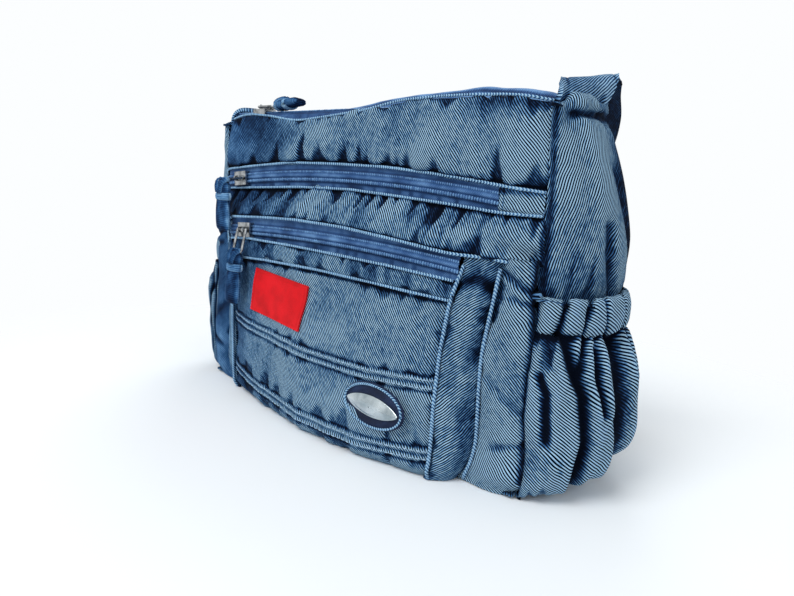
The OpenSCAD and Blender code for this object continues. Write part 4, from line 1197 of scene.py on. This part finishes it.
# The left leg stays edge-on, as it is in the frame, because the adjuster is threaded on it there.
LEFT_RISE = [((118.0, -40.0, 160.0), (118.5, -4.0, 161.0)), ((120.8, -40.0, 168.0), (122.5, -2.0, 169.0)),
             ((121.0, -38.0, 174.5), (122.5, 2.0, 175.0)), ((118.5, -35.0, 178.0), (120.0, 10.0, 178.0)),
             ((114.5, -26.0, 179.0), (115.5, 20.0, 178.0)), ((111.8, -10.0, 177.0), (111.8, 35.0, 175.0)),
             ((111.5, 4.0, 172.0), (111.5, 43.0, 168.0)), ((111.6, 15.0, 162.0), (111.6, 52.0, 158.0))]
LEFT_SLOPE = 0.3087
HINGE_TALL = 187
LEFT_LEG = []
for z in (145, 115, 85, 60):
    back = LEFT_SLOPE * (HINGE_TALL - z)
    LEFT_LEG.append(((111.8, 8.0 + back, z), (111.8, 46.0 + back, z)))
LEFT_TURN = [((111.6, 53.5, 38.0), (111.6, 91.5, 38.0)), ((111.4, 54.0, 20.0), (111.4, 92.0, 20.0)),
             ((110.6, 54.0, 8.0), (110.6, 92.0, 8.0)), ((106.5, 54.0, 3.6), (106.5, 92.0, 3.6)),
             ((98.0, 54.0, 2.9), (98.0, 92.0, 2.9))]
left_half = LEFT_RISE + LEFT_LEG + LEFT_TURN
floor_run = [((x, 54.0, 2.9), (x, 92.0, 2.9)) for x in (70.0, 35.0, 0.0, -35.0, -70.0)]
mirrored = [((-f[0], f[1], f[2]), (-r[0], r[1], r[2])) for f, r in reversed(left_half)]
belt_net = []
for front, rear in right_half + floor_run + mirrored:
    front, rear = np.array(front), np.array(rear)
    near_front = front * 0.94 + rear * 0.06
    near_rear = front * 0.06 + rear * 0.94
    belt_net.append([front, near_front, front * 0.5 + rear * 0.5, near_rear, rear])


def belt_relief(a, b, p):
    edge = np.minimum(b, b.max() - b)
    hem = mark(edge - 4.6, 0.6)
    fold = mark(edge, 1.0)
    swell = drift(a / 17.0, b / 15.0, 131)
    ends = np.minimum(a, a.max() - a)
    dent = flames(b, ends - 6.0, spacing=8, reach=16, seed=132)
    # Past the part that rises out of each end's seam, the belt is darkened as painted shade.
    inner = 0.55 * ease((ends - 34.0) / 8.0)
    height = 0.45 * swell - 0.35 * hem + 0.3 * fold - 0.8 * dent
    return height, 0.2 + 0.2 * swell - 0.6 * hem + 0.35 * fold - 0.6 * dent - inner


belt_band = panel(belt_net, 1.5, belt_relief, outside=(0, 0, 0.01), thick=2.6)
belt = piece("belt_cloth", [belt_band], BELT_DENIM, None, "washed_denim", "strap", "right_strap_stub",
             "left_strap_stub")
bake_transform(belt)

# %% [markdown]
# ## Sliders, pullers and small parts
# The metal sliders and wire bails keep their exact CAD shape and get their plating. Each puller is a
# strip of denim looped through the bail, held by a wrapped band. It rides on its own body, so it swings.


# %% Metal parts keep their CAD shape
def coat(node, finish):
    """A finish for a CAD node whose shape stays."""
    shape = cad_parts[node]
    shape.data.materials.clear()
    shape.data.materials.append(finish)
    print(f"{node}: {finish.name}")


for which in ("main", "upper", "lower"):
    coat(f"{which}_zip_slider", NICKEL)
    coat(f"{which}_zip_bail", NICKEL)


# %% Pullers
def puller(name, node, body, top, down, across, long, wide):
    """A strip from the bail: knot, wrapped band and tail. Down and across are unit directions."""
    top, down, across = np.array(top, float), np.array(down, float), np.array(across, float)
    out = np.cross(across, down)
    net = []
    # Distance from the bail, half width, lift off the cloth and fullness at each section.
    sections = [(1.2, 0.1, 0.3, 0.1), (2, 0.5, 0.3, 0.8), (5, 0.95, 0.8, 1), (9, 0.8, 0.6, 1)]
    sections += [(13, 0.8, 0.3, 1), (long * 0.62, 1.0, 0.1, 1), (long - 3, 1.05, 0, 1)]
    sections += [(long - 0.8, 1.0, 0, 0.9)]
    sections += [(long - 0.1, 0.9, 0, 0.5), (long, 0.1, 0, 0.05)]
    for far, half, lift, full in sections:
        row = []
        for turn in np.linspace(0, math.tau, 13):
            flat = np.sign(np.cos(turn)) * abs(np.cos(turn)) ** 0.6 * wide * 0.5 * half
            deep = np.sin(turn) * (1.5 + lift) * full
            row.append(top + down * far + across * flat + out * (deep + lift))
        net.append(row)

    def relief(a, b, p):
        edge = mark(np.abs((p - top) @ across) - wide * 0.5, 0.9)
        rough = drift(a / 5.0, b / 4.0, 141)
        return 0.25 * rough, 0.5 * edge + 0.25 * rough - 0.25

    tail = panel(net, 0.9, relief, outside=tuple(out * 1e-6), thick=0.8)
    lobes = []
    for side in (-1, 1):
        path = []
        for step in np.linspace(0, 1, 9):
            round_ = math.pi * (step * 1.15 - 0.1)
            spot = top + down * (1.5 - 3.4 * math.sin(round_) + 6.0 * step)
            spot = spot + across * side * (1.1 + 1.9 * math.sin(round_))
            path.append(spot + out * (2.6 * math.cos(round_)))
        lobes.append(roll(path, 1.7, step=1.2, sides=10, facing=tuple(out), seed=5, wear_and_shade=-0.1))
    ring = []
    for turn in np.linspace(0, math.tau, 17):
        spot = top + down * 11.0 + across * (wide * 0.5 + 0.6) * math.cos(turn)
        ring.append(spot + out * (0.6 + 2.6 * math.sin(turn)))
    facing = tuple(across * 0.01 + down * 0.01 + out)
    wrap = roll(ring, 2.3, step=1.0, sides=10, flat=0.42, facing=facing, seed=6, wear_and_shade=0.35)
    piece(name, [tail, *lobes], LOOP_DENIM, body, "dark_denim", node)
    piece(name + "_band", [wrap], WRAP_DENIM, body, "pale_denim")


puller("upper_puller", "upper_zip_pull", "upper_pull", top=(-92.0, -64.0, 132.6), down=(0, 0.05, -0.9987),
       across=(1, 0, 0), long=31, wide=11)
puller("lower_puller", "lower_zip_pull", "lower_pull", top=(-71.8, -67.3, 91.4), down=(0, -0.03, -0.9995),
       across=(1, 0, 0), long=32, wide=11)
puller("main_puller", "main_zip_pull", "main_pull", top=(-79.0, -33.0, 179.6), down=(0.9987, 0, 0.05),
       across=(0, 1, 0), long=21, wide=9)


# %% Label, badge and end tab
def on_face(centre, wide, tall, turn, stand, bulge, count=9):
    """A net that lies on the pocket's face: a turned rectangle, stand mm in front of it."""
    net = []
    c, s = math.cos(math.radians(turn)), math.sin(math.radians(turn))
    for u in np.linspace(-0.5, 0.5, count):
        row = []
        for v in np.linspace(0.5, -0.5, count):
            x = centre[0] + u * wide * c - v * tall * s
            z = centre[1] + u * wide * s + v * tall * c
            row.append((x, face_y(x, z) - stand - bulge * (1 - 4 * u * u) * (1 - 4 * v * v), z))
        net.append(row)
    return net


def label_relief(a, b, p):
    edge = np.minimum(np.minimum(a, a.max() - a), np.minimum(b, b.max() - b))
    hem = mark(edge - 1.6, 0.4)
    wave = 0.5 * drift(a / 16.0, b / 12.0, 151)
    return wave - 0.2 * hem, -0.35 * hem + 0.3 * wave


label_net = on_face((-32, 68), wide=50, tall=25, turn=-4, stand=1.9, bulge=0.4)
label = panel(label_net, 0.9, label_relief, thick=0.9)
piece("woven_label_cloth", [label], LABEL, "bag", "woven_label", "woven_label")


def oval(centre, wide, tall, stand, dome, thick, turn=-2.0, point=1.0):
    """A closed oval disc with a domed front, from rings that shrink to its middle. Above 1, point sharpens
    its two ends into a lens."""
    c, s = math.cos(math.radians(turn)), math.sin(math.radians(turn))
    rings = []
    sizes = [(0.94, -thick), (1.0, -thick * 0.6), (1.0, 0.0), (0.97, 0.25), (0.9, 0.4)]
    sizes += [(0.6, 0.4 + dome * 0.7), (0.3, 0.4 + dome * 0.95), (0.03, 0.4 + dome)]
    for size, out in sizes:
        row = []
        for angle in np.linspace(0, math.tau, 33):
            across = math.copysign(abs(math.sin(angle)) ** point, math.sin(angle))
            u, v = 0.5 * wide * size * math.cos(angle), 0.5 * tall * size * across
            x, z = centre[0] + u * c - v * s, centre[1] + u * s + v * c
            row.append((x, face_y(*centre) - 0.05 * (centre[1] - z) - stand - out, z))
        rings.append(row)
    return rings


def smooth_relief(a, b, p):
    rough = drift(a / 4.0, b / 4.0, 155)
    return 0.06 * rough, 0.2 * rough


BADGE = (54, 30)
patch_net = oval(BADGE, wide=40, tall=22, stand=2.0, dome=0.5, thick=1.6)
patch = panel(patch_net, 0.8, smooth_relief, thick=0.5)
piece("oval_patch_cloth", [patch], PATCH, "bag", "dark_denim", "oval_patch")
plate_net = oval(BADGE, wide=35, tall=10.5, stand=3.2, dome=1.3, thick=0.8, point=1.45)
plate = panel(plate_net, 0.6, thick=0.3)
piece("oval_plate_metal", [plate], PLATE, "bag", "nickel_steel", "oval_plate")
rim = []
for t in np.linspace(0, math.tau, 33):
    rim_y = face_y(*BADGE) - 2.7 + 0.5 * math.sin(t)
    rim.append((BADGE[0] + 19.0 * math.cos(t), rim_y, BADGE[1] + 10.2 * math.sin(t)))
piece("oval_patch_edge", [roll(rim, 0.62, seed=15)], EDGE_DENIM, "bag", "pale_denim")

tab_net = []
for x in (99.5, 100.5, 106, 112, 117, 120):
    low, high = on(UPPER_SILL, x) + 0.2, on(UPPER_SEAM, x) - 0.2
    back = corner_pull(x / SEAM_HALF)
    tab_net.append([(x, -46.2 + back - (1.2 if 0 < share < 1 else 0.0), low + (high - low) * share)
                    for share in (0, 0.12, 0.35, 0.6, 0.85, 0.94, 1)])


def tab_relief(a, b, p):
    x, z = p[..., 0], p[..., 2]
    stitch = mark(x - 102.4, 0.5) + 1.6 * mark(x - 99.5, 0.7)
    shade = ease((z - 133.5) / 3.0)
    return 0.3 * drift(x / 5.0, z / 5.0, 161) - 0.3 * stitch, 0.25 - 0.9 * shade - 0.6 * stitch


tab = panel(tab_net, 0.9, tab_relief, thick=1.5)
piece("zip_end_tab_cloth", [tab], FRONT_DENIM, "bag", "dark_denim", "zip_end_tab")

# %% [markdown]
# ## Linings, adjuster and topstitching
# The linings sit inside and keep the CAD shape as merged copies with the lining cloth on them. The
# adjuster on the belt is a moulded slide. Topstitching is Geometry Nodes again: one short thread grain,
# repeated at the length of a jeans stitch, about 3.3 mm.


# %% Linings
DRAWN_IN = (0.962, 0.92, 0.962)


def lining_copy(node, name):
    """A welded copy of a CAD node, with a UV map laid on by its widest directions."""
    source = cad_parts[node]
    points = np.array([v.co for v in source.data.vertices])
    keys, first, index = {}, [], []
    for point in np.round(points, 6):
        key = tuple(point)
        if key not in keys:
            keys[key] = len(first)
            first.append(point)
        index.append(keys[key])
    faces = [[index[v] for v in polygon.vertices] for polygon in source.data.polygons]
    faces = [f for f in faces if len(set(f)) == 3]
    first = np.array(first)
    # The cloth round it swells and dents, so the lining is drawn in a little to stay behind it.
    middle = (first.max(0) + first.min(0)) / 2
    first = middle + (first - middle) * DRAWN_IN
    soft = drift(first[:, 0] * 40, first[:, 2] * 40 + first[:, 1] * 30, 171)
    cloth = np.stack([first[:, 0] + first[:, 1], first[:, 2] + 0.3 * first[:, 1]], -1)
    piece(name, [(first / MM, faces, cloth, 0.2 * soft)], LINING, "bag", "lining_twill", node, smooth=False)


lining_copy("main_lining", "main_lining_cloth")
lining_copy("upper_pocket_lining", "upper_lining_cloth")
lining_copy("box_pocket_lining", "box_lining_cloth")
coat("strap_adjuster", NICKEL)


# %% Topstitching
def stitch_row(cloth, line, rise, start, end, count=90):
    """A row of points on a finished piece of cloth, found by looking at it straight from the front."""
    row = []
    for x in np.linspace(start, end, count):
        z = on(line, x) + rise
        hit, spot, _, _ = bpy.data.objects[cloth].ray_cast((x * MM, -0.2, z * MM), (0, 1, 0))
        if hit:
            row.append((x, spot.y / MM - 0.12, z))
    return row


bpy.context.view_layer.update()
rows = [stitch_row("pocket_face_cloth", row, side, -82, 82) for row in ROWS for side in (-1.9, 1.9)]
grains("topstitching", rows, THREAD, "bag", "pale_denim", spacing=3.3, size=(0.6, 0.4, 2.4))

# %% [markdown]
# ## Camera, floor and light
# The camera stands to the right, a little above the pack, and looks down across its front corner. The
# floor is pale and fades into a white world, so it keeps the soft contact shadow and nothing else. A
# large soft lamp above the front, a weaker one from the right and one behind give the folds their shape.

# %% Camera
# The focal length is in the same unit as the width of the image, and the sensor in millimetres.
FOCAL_LENGTH = 647.3
IMAGE_WIDTH = 794.0
SENSOR = 36.0
EYE = Vector((0.2617, -0.2851, 0.1370))
yaw, pitch, roll_angle = math.radians(42.46), math.radians(10.13), math.radians(3.7)
ahead = Vector((-math.sin(yaw) * math.cos(pitch), math.cos(yaw) * math.cos(pitch), -math.sin(pitch)))
level = Vector((math.cos(yaw), math.sin(yaw), 0))
upright = level.cross(ahead)
right = level * math.cos(roll_angle) + upright * math.sin(roll_angle)
above = -level * math.sin(roll_angle) + upright * math.cos(roll_angle)
lens = bpy.data.cameras.new("camera")
lens.sensor_width = SENSOR
lens.lens = FOCAL_LENGTH / IMAGE_WIDTH * SENSOR
lens.clip_start = 0.01
camera = bpy.data.objects.new("camera", lens)
placed = Matrix((right, above, -ahead)).transposed().to_4x4()
placed.translation = EYE
camera.matrix_world = placed
bpy.context.scene.collection.objects.link(camera)
bpy.context.scene.camera = camera
print("lens:", round(lens.lens, 2), "mm")

# %% Floor
FLOOR_RADIUS = 2.2
FLOOR_CORNERS = 64
FADE_START, FADE_END = 0.17, 0.40
floor_mesh = bpy.data.meshes.new("floor")
turns = np.linspace(0, math.tau, FLOOR_CORNERS, endpoint=False)
ring = [(FLOOR_RADIUS * math.cos(t), FLOOR_RADIUS * math.sin(t), 0.0) for t in turns]
floor_mesh.from_pydata(ring, [], [list(range(FLOOR_CORNERS))])
floor = bpy.data.objects.new("floor", floor_mesh)
bpy.context.scene.collection.objects.link(floor)
PAPER, paper_tree, paper = new_finish("pale_paper_floor")
place = add(paper_tree, "ShaderNodeTexCoord")
far = add(paper_tree, "ShaderNodeVectorMath", {"operation": "LENGTH"}, {0: place.outputs["Object"]})
fade = add(paper_tree, "ShaderNodeMapRange", {"interpolation_type": "SMOOTHSTEP"},
           {0: far.outputs["Value"], 1: FADE_START, 2: FADE_END, 3: 0.0, 4: 1.0})
clear = add(paper_tree, "ShaderNodeBsdfTransparent")
mixed = add(paper_tree, "ShaderNodeMixShader", None,
            {0: fade.outputs[0], 1: paper.outputs[0], 2: clear.outputs[0]})
paper.inputs["Base Color"].default_value = dye("#f6fafc")
paper.inputs["Roughness"].default_value = 0.95
paper.inputs["Specular IOR Level"].default_value = 0.0
paper_out = next(n for n in paper_tree.nodes if n.type == "OUTPUT_MATERIAL")
paper_tree.links.new(mixed.outputs[0], paper_out.inputs[0])
floor_mesh.materials.append(PAPER)
print("floor:", FLOOR_RADIUS, "m in radius, clear from", FADE_END, "m on")

# %% World and lamps
world = bpy.data.worlds.new("white_studio")
bpy.context.scene.world = world
world.use_nodes = True
world.node_tree.nodes.clear()
ray = add(world.node_tree, "ShaderNodeLightPath")
seen = add(world.node_tree, "ShaderNodeMath", {"operation": "MAXIMUM"},
           {0: ray.outputs["Is Camera Ray"], 1: ray.outputs["Is Glossy Ray"]})
lit = add(world.node_tree, "ShaderNodeBackground", None, {0: dye("#f0f3f7"), 1: 0.66})
white = add(world.node_tree, "ShaderNodeBackground", None, {0: dye("#fcfeff"), 1: 1.0})
both = add(world.node_tree, "ShaderNodeMixShader", None,
           {0: seen.outputs[0], 1: lit.outputs[0], 2: white.outputs[0]})
add(world.node_tree, "ShaderNodeOutputWorld", None, {0: both.outputs[0]})


def lamp(name, place, aim, size, power):
    light = bpy.data.lights.new(name, "AREA")
    light.shape = "DISK"
    light.size = size
    light.energy = power
    holder = bpy.data.objects.new(name, light)
    holder.location = place
    holder.rotation_euler = (Vector(aim) - Vector(place)).to_track_quat("-Z", "Y").to_euler()
    bpy.context.scene.collection.objects.link(holder)


lamp("key_lamp", place=(0.05, -0.85, 1.05), aim=(0, 0, 0.08), size=0.7, power=9.0)
lamp("side_lamp", place=(1.0, -0.25, 0.65), aim=(0.1, 0, 0.08), size=0.6, power=1.6)
lamp("back_lamp", place=(-0.5, 0.8, 0.9), aim=(0, 0, 0.1), size=0.8, power=4.0)
view = bpy.context.scene.view_settings
view.view_transform = "Standard"

# %% [markdown]
# ## The end
# The view layer is brought up to date.

# %% Update
bpy.context.view_layer.update()
